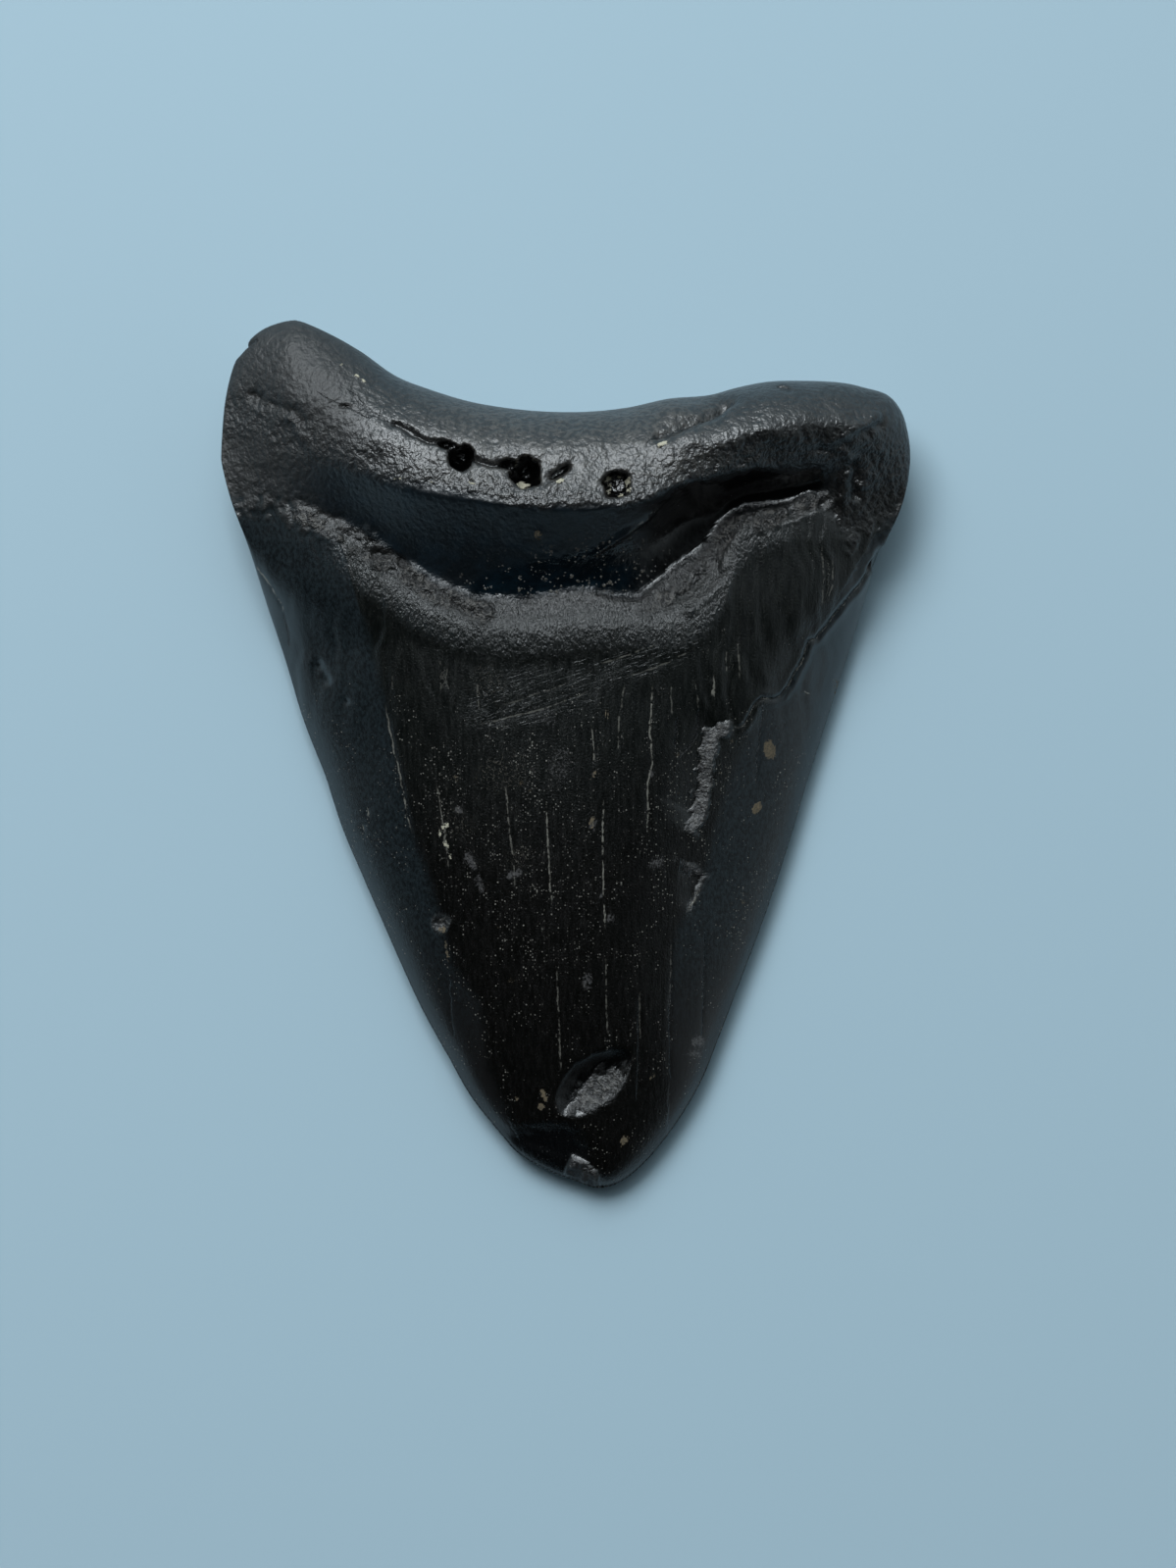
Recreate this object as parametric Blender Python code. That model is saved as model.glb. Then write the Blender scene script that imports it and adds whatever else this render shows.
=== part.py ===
"""Megalodon tooth, a fossil shark tooth, lying on its labial (flat) face.

One solid: the root with its two lobes and nutrient holes, the hollow of the lost
bourlette, the ledge where the enamel begins, the crown and its broken tip.
The root end points to +Y, the tip to -Y and the lingual (bulging) face to +Z.
The origin is on the resting plane, under the middle of the outline.
Sizes below are in millimetres; MM turns them into metres.
"""
import math

import bmesh
import bpy
import numpy as np
from mathutils import Matrix, Vector

MM = 0.001

# ---- Outline seen from above, counter-clockwise, points on the widest line of the tooth ----
RIGHT_EDGE = [(32.0, 8.3), (33.5, 12.9), (34.8, 17.5), (35.8, 21.2), (37.4, 25.3), (38.9, 28.6),
              (39.8, 31.9), (40.1, 35.0), (39.8, 37.8), (39.0, 40.3), (37.4, 42.1)]
ROOT_EDGE = [(34.9, 42.9), (32.0, 43.5), (28.0, 43.7), (23.6, 43.6), (19.9, 42.9), (16.5, 42.0),
             (11.9, 41.6), (7.3, 40.6), (2.7, 40.1), (-2.0, 40.1), (-6.6, 40.5), (-11.2, 41.3),
             (-15.8, 42.7), (-19.8, 44.3), (-23.8, 47.1), (-27.3, 49.1), (-30.7, 50.6),
             (-32.4, 50.7), (-34.7, 50.0), (-36.4, 48.9)]
LEFT_EDGE = [(-37.6, 47.5), (-38.8, 45.1), (-39.7, 41.1), (-40.1, 35.9), (-40.0, 33.8),
             (-38.9, 29.6), (-37.0, 24.4), (-35.0, 17.5), (-32.8, 10.6), (-30.9, 4.3),
             (-28.4, -2.1), (-27.5, -4.9), (-26.1, -9.0), (-23.4, -15.3), (-19.1, -25.1),
             (-16.7, -30.2), (-13.8, -35.4), (-11.2, -40.0), (-7.7, -44.4), (-5.4, -46.9),
             (-2.0, -48.8), (0.9, -49.9)]
TIP_EDGE = [(3.8, -50.8), (6.7, -49.9), (9.8, -47.2), (13.0, -43.1), (15.9, -38.2), (18.0, -33.0),
            (20.2, -27.2), (23.3, -19.0), (26.2, -10.3), (28.3, -3.2), (30.5, 3.7)]
MIDDLE = (1.5, 15.0)             # the rings of the mesh shrink towards this point

# ---- Heights over the resting plane ----
ROOT_THICKNESS = 22.0            # at the crest, by the nutrient holes
CREST_MIDDLE = 2.5               # x of the crest's highest point
CREST_SPAN = 60.0                # sideways reach of the crest's arch
BROW_WIDTH = 5.0                 # over which the crest droops before it breaks into the hollow
ROOT_RIM = 8.5                   # widest line of the root
CROWN_RIM = 3.0                  # cutting edges
LABIAL_ROUNDING = (12.0, 8.5)    # the same on the underside: crown, root
LABIAL_STEP = 0.4                # the root is set back from the enamel underneath
WORN_LIP = 1.8                   # how much the worn cutting edges bulge
WORN_LIP_REACH = 1.8
FACET_SLOPE_LEFT = 0.62          # rise over run of the long facets beside the cutting edges
FACET_SLOPE_RIGHT = [(-51.0, 0.50), (0.0, 0.54), (10.0, 0.76), (30.0, 0.92)]
ROOT_BEGINS, ROOT_FULL = 12.0, 28.0     # y where the edge turns from blade to root

# Stations along the tooth (y, value) and across it (x, value)
SPINE_HEIGHT = [(-51.0, 4.6), (-46.0, 5.7), (-40.0, 7.0), (-30.0, 9.0), (-20.0, 10.7),
                (-10.0, 12.1), (0.0, 13.3), (10.0, 14.4), (17.0, 15.0), (30.0, 15.4)]
SPINE_PLACE = [(-51.0, 3.5), (-40.0, 2.0), (-20.0, 0.9), (0.0, 0.1), (30.0, 0.0)]
DOME_BEND = [(-51.0, 0.018), (-35.0, 0.012), (-20.0, 0.0095), (-5.0, 0.0075), (10.0, 0.0055),
             (25.0, 0.0042)]
CREST_LINE = [(-40.0, 40.0), (-36.2, 40.5), (-31.9, 39.1), (-26.1, 36.3), (-20.4, 33.3),
              (-16.5, 31.9), (-12.3, 31.0), (-4.5, 28.9), (3.0, 28.6), (8.2, 28.9),
              (12.8, 30.6), (17.4, 31.8), (22.5, 32.8), (29.1, 33.4), (34.8, 33.6),
              (40.0, 33.6)]
CREST_SOFTNESS = [(-40.0, 2.4), (-26.0, 2.0), (-16.0, 1.2), (-5.0, 0.9), (8.0, 1.0), (15.0, 2.0),
                  (25.0, 3.0), (40.0, 3.0)]     # rounding where the crest turns down
BROW_DROP = [(-40.0, 0.6), (-26.0, 0.8), (-16.0, 0.4), (0.0, 0.1), (8.0, 0.3), (15.0, 1.2),
             (25.0, 2.3), (40.0, 2.0)]
ROOT_ROUNDING = [(-40.0, 8.5), (-28.0, 8.5), (-18.0, 7.5), (-5.0, 6.0), (10.0, 6.0),
                 (20.0, 7.5), (30.0, 8.0), (40.0, 8.0)]     # reach of the root's round edge
BAND_TILT = [(-40.0, 0.0), (-30.0, 0.05), (-20.0, 0.2), (-10.0, 0.3), (5.0, 0.34), (12.0, 0.3),
             (20.0, 0.12), (30.0, 0.0), (40.0, 0.0)]        # fall of the root behind its crest
LEDGE_LINE = [(-40.0, 29.6), (-33.6, 28.0), (-27.5, 25.0), (-24.0, 22.4), (-20.6, 19.9),
              (-17.7, 17.8), (-12.0, 15.3), (-8.5, 14.7), (-4.5, 14.6), (3.6, 15.3), (8.2, 15.2),
              (12.8, 15.5), (15.5, 16.6), (18.2, 20.0), (20.0, 24.5), (21.5, 26.2), (25.6, 27.2),
              (29.5, 28.2), (31.5, 25.6), (33.0, 23.0), (35.4, 25.4), (40.0, 27.6)]
LEDGE_FOOT = [(-40.0, 31.0), (-33.6, 29.8), (-28.4, 28.2), (-21.5, 24.4), (-16.9, 20.9),
              (-11.7, 18.2), (-6.6, 17.7), (2.6, 18.8), (8.4, 18.2), (13.0, 21.5),
              (15.9, 23.6), (19.3, 27.4), (25.6, 28.9), (29.5, 30.0), (31.5, 27.8), (33.0, 25.6),
              (35.4, 27.6), (40.0, 29.6)]
LEDGE_LEAN = 0.46                # slope of the ledge's lip towards the hollow
LEDGE_STEP = [(-40.0, 0.0), (-31.5, 0.05), (-26.0, 0.7), (-16.9, 1.4), (-5.0, 1.6), (3.0, 1.8),
              (13.0, 2.6), (19.3, 2.7), (25.6, 1.6), (30.0, 0.6), (40.0, 0.0)]
HOLLOW_CURVE = [(-40.0, 1.0), (-28.0, 1.05), (-20.0, 1.4), (-10.0, 1.6), (8.0, 1.9), (20.0, 2.2),
                (30.0, 1.5), (40.0, 1.2)]
LABIAL_BORDER = [(-40.0, 27.0), (-20.0, 22.5), (0.0, 20.0), (20.0, 22.0), (40.0, 25.0)]

# ---- Mesh: rings from the middle to the rim ----
LINGUAL_RINGS = 30
LABIAL_RINGS = 12
RING_CROWDING = 1.35             # rings lie closer towards the rim
LABIAL_REACH = 0.985             # the underside's outer ring, as a share of the outline
OUTLINE_STEPS = 720

# ---- Hollows cut into the surface: place, half sizes, turn about Z in degrees, sink ----
NUTRIENT_HOLES = {
    "hole_left": ((-11.8, 34.1), (1.5, 1.7, 4.0), -30.0, 0.6),
    "hole_left_slit": ((-13.5, 35.5), (1.6, 0.7, 1.4), -12.0, 0.2),
    "hole_middle": ((-4.5, 32.2), (1.75, 1.8, 4.0), 8.0, 0.7),
    "hole_slit": ((-0.6, 32.3), (1.6, 0.7, 1.6), 31.0, 0.3),
    "hole_right": ((6.0, 30.9), (1.7, 1.65, 3.0), 0.0, 0.6),
}
TIP_CHIP = ((3.25, -38.1), (5.4, 2.9, 1.6), 38.0, -0.2)
TIP_BREAK = ((-0.9, -45.0), (4.6, 2.8, 1.3), -24.0, -0.1)
EDGE_PIT = ((-14.6, -19.4), (1.3, 1.2, 0.9), 0.0, 0.0)
SIDE_HOLLOW = ((34.0, 31.6), (1.1, 3.2, 1.4), -6.0, -0.5)
FURROW = [(9.3, 35.6), (10.6, 36.8), (13.0, 38.0), (15.3, 39.0), (17.2, 40.0), (19.4, 41.2),
          (20.6, 41.9)]
FURROW_RADIUS = 0.75
LOBE_CREASE = [(-37.6, 42.0), (-34.2, 40.3), (-31.6, 39.7), (-29.8, 37.9)]
LOBE_CREASE_RADIUS = 0.55


def clear_scene():
    for thing in list(bpy.data.objects):
        bpy.data.objects.remove(thing, do_unlink=True)


def smooth(share):
    """Ease from 0 to 1: 3t^2 - 2t^3."""
    share = np.clip(share, 0.0, 1.0)
    return share * share * (3.0 - 2.0 * share)


def read_off(place, stations):
    """Value at each place on a smooth line through the stations (cubic Hermite)."""
    places, values = np.array(stations).T
    slopes = np.gradient(values, places)
    left = np.clip(np.searchsorted(places, place) - 1, 0, len(places) - 2)
    gap = places[left + 1] - places[left]
    t = np.clip((place - places[left]) / gap, 0.0, 1.0)
    return ((1 + 2 * t) * (1 - t) ** 2 * values[left] + t * (1 - t) ** 2 * gap * slopes[left]
            + t * t * (3 - 2 * t) * values[left + 1] + t * t * (t - 1) * gap * slopes[left + 1])


def lower_of(first, second, softness):
    """Smaller of two heights, with the corner between them rounded by the softness."""
    return 0.5 * (first + second - np.sqrt((first - second) ** 2 + softness ** 2))


def ramp_to(share):
    """Straight ramp from 0 to 1 with a rounded start, held at 1."""
    return np.minimum(0.5 * (share + np.sqrt(share ** 2 + 0.05)), 1.0)


def smooth_outline(points, steps):
    """Closed curve through the points, as evenly spaced points along its length."""
    knots = np.array(points)
    ahead, behind = np.roll(knots, -1, axis=0), np.roll(knots, 1, axis=0)
    pull = 0.5 * (ahead - behind)
    t = np.linspace(0.0, 1.0, 24, endpoint=False)[:, None, None]
    curve = ((1 + 2 * t) * (1 - t) ** 2 * knots + t * (1 - t) ** 2 * pull
             + t * t * (3 - 2 * t) * ahead + t * t * (t - 1) * np.roll(pull, -1, axis=0))
    curve = curve.transpose(1, 0, 2).reshape(-1, 2)
    closed = np.vstack([curve, curve[:1]])
    length = np.concatenate([[0.0], np.cumsum(np.hypot(*np.diff(closed, axis=0).T))])
    along = np.linspace(0.0, length[-1], steps, endpoint=False)
    return np.column_stack([np.interp(along, length, closed[:, axis]) for axis in (0, 1)])


def distance_to(points, path):
    """Shortest distance from each point to a path of straight pieces."""
    start, run = path[:-1], np.diff(path, axis=0)
    offset = points[:, None, :] - start[None, :, :]
    share = np.clip((offset * run).sum(2) / (run ** 2).sum(1), 0.0, 1.0)
    return np.sqrt(((offset - share[:, :, None] * run) ** 2).sum(2).min(1))


def round_in(distance, reach, fullness):
    """Rise from 0 at the rim to 1 at the reach; 2 is a quarter circle, 1 a straight ramp."""
    share = np.clip(distance / reach, 0.0, 1.0)
    return (1.0 - (1.0 - share) ** fullness) ** (1.0 / fullness)


OUTLINE = smooth_outline(RIGHT_EDGE + ROOT_EDGE + LEFT_EDGE + TIP_EDGE, OUTLINE_STEPS)
OUTLINE_LOOP = np.vstack([OUTLINE, OUTLINE[:1]])
TIP_INDEX = int(OUTLINE[:, 1].argmin())
LEFT_TOP_INDEX = int(OUTLINE[:, 0].argmin())
CENTRE = 0.5 * (OUTLINE.min(0) + OUTLINE.max(0))


def rim_height(y):
    """Height of the widest line: low along the cutting edges, higher round the root."""
    root_share = smooth((y - ROOT_BEGINS) / (ROOT_FULL - ROOT_BEGINS))
    return CROWN_RIM + (ROOT_RIM - CROWN_RIM) * root_share


def lingual_body(x, y):
    """Crown dome, enamel ledge, hollow and root crest, before the edges are rounded."""
    dome = read_off(y, SPINE_HEIGHT) - read_off(y, DOME_BEND) * (x - read_off(y, SPINE_PLACE)) ** 2
    ledge, foot = read_off(x, LEDGE_LINE), read_off(x, LEDGE_FOOT)
    step = read_off(x, LEDGE_STEP)
    lean = np.minimum(LEDGE_LEAN * (foot - ledge), 0.7 * step)
    lip_run = ramp_to((y - ledge) / (foot - ledge))
    floor = dome - lean * lip_run - (step - lean) * smooth((y - foot + 0.3) / 0.9)
    crest_line = read_off(x, CREST_LINE)
    crest = ROOT_THICKNESS * (1.0 - ((x - CREST_MIDDLE) / CREST_SPAN) ** 2)
    crest = crest - read_off(x, BROW_DROP) * smooth((crest_line + BROW_WIDTH - y) / BROW_WIDTH)
    crest = crest - read_off(x, BAND_TILT) * np.clip(y - crest_line, 0.0, 14.0)
    climb = np.clip((y - foot) / (crest_line - foot), 0.0, 1.3)
    ramp = floor + (crest - floor) * climb ** read_off(x, HOLLOW_CURVE)
    return lower_of(ramp, crest, read_off(x, CREST_SOFTNESS))


def lingual_height(x, y):
    """Upper surface: the body, with facets beside the blade and a round edge on the root."""
    points = np.column_stack([x, y])
    rim_gap = distance_to(points, OUTLINE_LOOP)
    left_gap = distance_to(points, OUTLINE[LEFT_TOP_INDEX:TIP_INDEX + 1])
    right_gap = distance_to(points, np.vstack([OUTLINE[TIP_INDEX:], OUTLINE[:TIP_INDEX // 4]]))
    rim, body = rim_height(y), lingual_body(x, y)
    worn_lip = WORN_LIP * (1.0 - np.exp(-rim_gap / WORN_LIP_REACH))
    crown = lower_of(body, rim + worn_lip + FACET_SLOPE_LEFT * left_gap, 0.9)
    crown = lower_of(crown, rim + worn_lip + read_off(y, FACET_SLOPE_RIGHT) * right_gap, 0.9)
    crown = np.where(rim_gap < 1e-6, rim, crown)
    root = rim + (body - rim) * round_in(rim_gap, read_off(x, ROOT_ROUNDING), 2.0)
    root_share = smooth((y - ROOT_BEGINS) / (ROOT_FULL - ROOT_BEGINS))
    return crown + (root - crown) * root_share


def labial_height(x, y):
    """Underside: flat, curving up to the rim, with the root set back behind the enamel."""
    rim_gap = distance_to(np.column_stack([x, y]), OUTLINE_LOOP)
    root_share = smooth((y - ROOT_BEGINS) / (ROOT_FULL - ROOT_BEGINS))
    blade = 1.0 - round_in(rim_gap, LABIAL_ROUNDING[0], 1.35)
    lobe = 1.0 - round_in(rim_gap, LABIAL_ROUNDING[1], 2.0)
    set_back = LABIAL_STEP * smooth((y - read_off(x, LABIAL_BORDER)) / 1.5)
    return rim_height(y) * (blade + (lobe - blade) * root_share) + set_back


def ring_place(across, up, reach):
    """Place on the outline's rings for a point of the square grid from -1 to 1."""
    ring = np.maximum(np.abs(across), np.abs(up))
    safe_across = np.where(np.abs(across) < 1e-9, 1e-9, across)
    safe_up = np.where(np.abs(up) < 1e-9, 1e-9, up)
    sideways = np.abs(across) >= np.abs(up)
    turn = np.where(sideways, up / safe_across, 2.0 - across / safe_up) / 8.0
    turn = turn + np.where(np.where(sideways, across, up) < 0.0, 0.5, 0.0)
    index = (turn % 1.0) * OUTLINE_STEPS
    whole = np.floor(index).astype(int)
    part = (index - whole)[:, None]
    edge = (1 - part) * OUTLINE[whole % OUTLINE_STEPS] + part * OUTLINE[(whole + 1) % OUTLINE_STEPS]
    share = reach * (1.0 - (1.0 - ring) ** RING_CROWDING)
    return np.array(MIDDLE) + share[:, None] * (edge - np.array(MIDDLE))


def add_face_grid(mesh, rings, reach, height):
    """Square grid bent onto the outline's rings and lifted to a height function."""
    grid = bmesh.ops.create_grid(mesh, x_segments=2 * rings, y_segments=2 * rings, size=1.0)
    flat = np.array([corner.co[:2] for corner in grid["verts"]])
    places = ring_place(flat[:, 0], flat[:, 1], reach)
    heights = height(places[:, 0], places[:, 1])
    for corner, (x, y), z in zip(grid["verts"], places - CENTRE, heights):
        corner.co = (x * MM, y * MM, z * MM)
    faces = {face for corner in grid["verts"] for face in corner.link_faces}
    return [edge for edge in {edge for face in faces for edge in face.edges} if edge.is_boundary]


def make_material():
    """Black phosphate stone, the colour of a tooth from dark river or marine mud."""
    material = bpy.data.materials.new("black_fossil")
    material.use_nodes = True
    surface = material.node_tree.nodes["Principled BSDF"]
    surface.inputs["Base Color"].default_value = (0.012, 0.012, 0.013, 1.0)
    surface.inputs["Roughness"].default_value = 0.45
    surface.inputs["Metallic"].default_value = 0.0
    material.diffuse_color = (0.03, 0.03, 0.033, 1.0)
    return material


def add_object(name, mesh):
    data = bpy.data.meshes.new(name)
    mesh.to_mesh(data)
    mesh.free()
    thing = bpy.data.objects.new(name, data)
    bpy.context.scene.collection.objects.link(thing)
    return thing


def surface_point(x, y, sink=0.0):
    """World place of a point of the lingual surface, sunk by some millimetres."""
    height = lingual_height(np.array([x]), np.array([y]))[0]
    return Vector((x - CENTRE[0], y - CENTRE[1], height - sink)) * MM


def hide_cutter(cutter):
    cutter.hide_render = True
    cutter.display_type = "WIRE"
    return cutter


def scoop_cutter(name, place, half_sizes, turn, sink):
    """Egg-shaped cutter whose middle lies a little below or above the surface."""
    mesh = bmesh.new()
    bmesh.ops.create_uvsphere(mesh, u_segments=14, v_segments=8, radius=1.0)
    shape = Matrix.Diagonal([size * MM for size in half_sizes]).to_4x4()
    pose = Matrix.Translation(surface_point(*place, sink)) @ Matrix.Rotation(math.radians(turn), 4, "Z")
    bmesh.ops.transform(mesh, matrix=pose @ shape, verts=mesh.verts)
    return hide_cutter(add_object(name, mesh))


def groove_cutter(name, path, radius):
    """Round bar lying along a path on the surface, thinner towards both ends."""
    curve = bpy.data.curves.new(name, "CURVE")
    curve.dimensions = "3D"
    curve.bevel_depth = radius * MM
    curve.bevel_resolution = 1
    curve.use_fill_caps = True
    spline = curve.splines.new("POLY")
    spline.points.add(len(path) - 1)
    for number, (point, (x, y)) in enumerate(zip(spline.points, path)):
        point.co = (*surface_point(x, y), 1.0)
        point.radius = 1.0 if 0 < number < len(path) - 1 else 0.5
    bar = bpy.data.objects.new(name + "_bar", curve)
    bpy.context.scene.collection.objects.link(bar)
    solid = bpy.data.objects.new(name, bpy.data.meshes.new_from_object(bar))
    bpy.context.scene.collection.objects.link(solid)
    bpy.data.objects.remove(bar, do_unlink=True)
    return hide_cutter(solid)


def make_body():
    """Lingual and labial faces joined along the rim into one closed solid."""
    mesh = bmesh.new()
    upper = add_face_grid(mesh, LINGUAL_RINGS, 1.0, lingual_height)
    lower = add_face_grid(mesh, LABIAL_RINGS, LABIAL_REACH, labial_height)
    bmesh.ops.bridge_loops(mesh, edges=upper + lower)
    bmesh.ops.triangulate(mesh, faces=mesh.faces)
    bmesh.ops.recalc_face_normals(mesh, faces=mesh.faces)
    return add_object("tooth", mesh)


def make_tooth():
    tooth = make_body()
    tooth.data.materials.append(make_material())
    cutters = [scoop_cutter(name, *shape) for name, shape in NUTRIENT_HOLES.items()]
    cutters.append(scoop_cutter("tip_chip", *TIP_CHIP))
    cutters.append(scoop_cutter("tip_break", *TIP_BREAK))
    cutters.append(scoop_cutter("edge_pit", *EDGE_PIT))
    cutters.append(scoop_cutter("side_hollow", *SIDE_HOLLOW))
    cutters.append(groove_cutter("furrow", FURROW, FURROW_RADIUS))
    cutters.append(groove_cutter("lobe_crease", LOBE_CREASE, LOBE_CREASE_RADIUS))
    for cutter in cutters:
        cut = tooth.modifiers.new(cutter.name, "BOOLEAN")
        cut.operation = "DIFFERENCE"
        cut.solver = "EXACT"
        cut.object = cutter
    tooth.data.shade_smooth()
    tooth.data.set_sharp_from_angle(angle=math.radians(40.0))
    return tooth


clear_scene()
make_tooth()
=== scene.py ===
import math

import bpy
import numpy as np
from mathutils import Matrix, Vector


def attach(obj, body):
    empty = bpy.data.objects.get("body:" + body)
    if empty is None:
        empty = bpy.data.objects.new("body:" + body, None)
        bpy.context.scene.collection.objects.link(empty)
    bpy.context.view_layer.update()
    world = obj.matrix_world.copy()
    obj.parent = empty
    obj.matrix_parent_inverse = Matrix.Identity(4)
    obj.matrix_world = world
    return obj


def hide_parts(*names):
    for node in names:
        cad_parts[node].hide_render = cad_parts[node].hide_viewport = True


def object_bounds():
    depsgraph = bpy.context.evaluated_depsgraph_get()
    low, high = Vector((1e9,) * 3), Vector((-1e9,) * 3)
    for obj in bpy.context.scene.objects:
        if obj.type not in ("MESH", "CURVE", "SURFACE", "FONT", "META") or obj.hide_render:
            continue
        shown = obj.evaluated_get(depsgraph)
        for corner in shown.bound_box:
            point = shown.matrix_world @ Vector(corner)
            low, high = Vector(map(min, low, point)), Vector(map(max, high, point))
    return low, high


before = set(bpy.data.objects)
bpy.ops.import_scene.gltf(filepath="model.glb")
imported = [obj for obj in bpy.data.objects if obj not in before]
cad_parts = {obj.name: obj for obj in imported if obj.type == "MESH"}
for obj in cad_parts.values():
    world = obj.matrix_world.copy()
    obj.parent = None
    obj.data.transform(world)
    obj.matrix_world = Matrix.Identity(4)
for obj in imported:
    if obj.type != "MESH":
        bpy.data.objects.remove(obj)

solid_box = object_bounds()

# ---- Outline of the tooth ----
# The widest line round a fossil shark tooth that lies on its flat face: two root lobes at the
# top, worn cutting edges down both sides and a broken tip. Millimetres, counter-clockwise.
MM = 0.001
RIGHT_EDGE = [
    (32, 8.3), (33.5, 12.9), (34.8, 17.5), (35.8, 21.2), (37.4, 25.3), (38.9, 28.6), (39.8, 31.9),
    (40.1, 35), (39.8, 37.8), (39, 40.3), (37.4, 42.1),
]
ROOT_EDGE = [
    (34.9, 42.9), (32, 43.5), (28, 43.7), (23.6, 43.6), (19.9, 42.9), (16.5, 42), (11.9, 41.6),
    (7.3, 40.6), (2.7, 40.1), (-2, 40.1), (-6.6, 40.5), (-11.2, 41.3), (-15.8, 42.7),
    (-19.8, 44.3), (-23.8, 47.1), (-27.3, 49.1), (-30.7, 50.6), (-32.4, 50.7), (-34.7, 50),
    (-36.4, 48.9),
]
LEFT_EDGE = [
    (-37.6, 47.5), (-38.8, 45.1), (-39.7, 41.1), (-40.1, 35.9), (-40, 33.8), (-38.9, 29.6),
    (-37, 24.4), (-35, 17.5), (-32.8, 10.6), (-30.9, 4.3), (-28.4, -2.1), (-27.5, -4.9),
    (-26.1, -9), (-23.4, -15.3), (-19.1, -25.1), (-16.7, -30.2), (-13.8, -35.4), (-11.2, -40),
    (-7.7, -44.4), (-5.4, -46.9), (-2, -48.8), (0.9, -49.9),
]
TIP_EDGE = [
    (3.8, -50.8), (6.7, -49.9), (9.8, -47.2), (13, -43.1), (15.9, -38.2), (18, -33), (20.2, -27.2),
    (23.3, -19), (26.2, -10.3), (28.3, -3.2), (30.5, 3.7),
]
MIDDLE = np.array([1.5, 15.0])    # the mesh's rings shrink towards this point
RINGS = 140
RING_CROWDING = 1.25              # rings lie closer towards the rim
OUTLINE_STEPS = 8 * RINGS
CURVE_STEPS = 24                  # points from one station of the outline to the next
GAPS_AT_ONCE = 3_000_000          # spots times pieces measured together, to spare memory


def cubic(t, start, end, start_slope, end_slope):
    """Cubic Hermite from start to end as t goes from 0 to 1, with the given end slopes."""
    return ((1 + 2 * t) * (1 - t) ** 2 * start + t * (1 - t) ** 2 * start_slope
            + t * t * (3 - 2 * t) * end + t * t * (t - 1) * end_slope)


def smooth_outline(points, steps):
    """Closed cubic Hermite curve through the points, resampled evenly along its length."""
    knots = np.array(points)
    ahead, behind = np.roll(knots, -1, axis=0), np.roll(knots, 1, axis=0)
    slope = 0.5 * (ahead - behind)
    t = np.linspace(0.0, 1.0, CURVE_STEPS, endpoint=False)[:, None, None]
    curve = cubic(t, knots, ahead, slope, np.roll(slope, -1, axis=0))
    curve = curve.transpose(1, 0, 2).reshape(-1, 2)
    closed = np.vstack([curve, curve[:1]])
    length = np.concatenate([[0.0], np.cumsum(np.hypot(*np.diff(closed, axis=0).T))])
    along = np.linspace(0.0, length[-1], steps, endpoint=False)
    return np.column_stack([np.interp(along, length, closed[:, axis]) for axis in (0, 1)])


def ring_places(rings, reach):
    """Square grid of points bent onto shrunken copies of the outline.

    The grid's ring is the larger of the two coordinates; the turn round the ring is the same
    share of the outline's length. Reach is the outermost ring's size, 1 at the outline.
    """
    axis = np.linspace(-1.0, 1.0, 2 * rings + 1)
    across, up = (field.ravel() for field in np.meshgrid(axis, axis))
    ring = np.maximum(np.abs(across), np.abs(up))
    safe_across = np.where(np.abs(across) < 1e-9, 1e-9, across)
    safe_up = np.where(np.abs(up) < 1e-9, 1e-9, up)
    sideways = np.abs(across) >= np.abs(up)
    turn = np.where(sideways, up / safe_across, 2.0 - across / safe_up) / 8.0
    turn = turn + np.where(np.where(sideways, across, up) < 0.0, 0.5, 0.0)
    index = (turn % 1.0) * OUTLINE_STEPS
    whole = np.floor(index + 1e-6).astype(int)
    part = (index - whole)[:, None]
    edge = (1 - part) * outline[whole % OUTLINE_STEPS] + part * outline[(whole + 1) % OUTLINE_STEPS]
    share = reach * (1.0 - (1.0 - ring) ** RING_CROWDING)
    return MIDDLE + share[:, None] * (edge - MIDDLE)


def path_gap(spots, path, reach=None):
    """Vector from the nearest point of a path of straight pieces to each spot, the share of the
    path's length at that point, and the side: +1 left of the path's run, -1 right of it. Spots
    outside the path's box by more than the reach, if there is one, count as far away."""
    path = np.asarray(path, float)
    away, along, side = np.full((len(spots), 2), 99.0), np.zeros(len(spots)), np.ones(len(spots))
    near = np.arange(len(spots))
    if reach is not None:
        in_box = (spots > path.min(0) - reach) & (spots < path.max(0) + reach)
        near = np.flatnonzero(in_box.all(1))
    start, run = path[:-1], np.diff(path, axis=0)
    length = np.hypot(*run.T)
    before = np.concatenate([[0.0], np.cumsum(length)])
    spots_at_once = max(1, GAPS_AT_ONCE // len(run))
    for first in range(0, len(near), spots_at_once):
        part = near[first:first + spots_at_once]
        offset = spots[part, None, :] - start
        share = np.clip((offset * run).sum(2) / length ** 2, 0.0, 1.0)
        gaps = offset - share[..., None] * run
        nearest = (gaps ** 2).sum(2).argmin(1)
        row = np.arange(len(nearest))
        away[part] = gaps[row, nearest]
        along[part] = (before[nearest] + share[row, nearest] * length[nearest]) / before[-1]
        (across, up), (run_across, run_up) = offset[row, nearest].T, run[nearest].T
        side[part] = np.sign(run_across * up - run_up * across)
    return away, along, side


outline = smooth_outline(RIGHT_EDGE + ROOT_EDGE + LEFT_EDGE + TIP_EDGE, OUTLINE_STEPS)
outline_loop = np.vstack([outline, outline[:1]])[::2]
tip_index = int(outline[:, 1].argmin())
left_top_index = int(outline[:, 0].argmin())
outline_centre = 0.5 * (outline.min(0) + outline.max(0))

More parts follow.
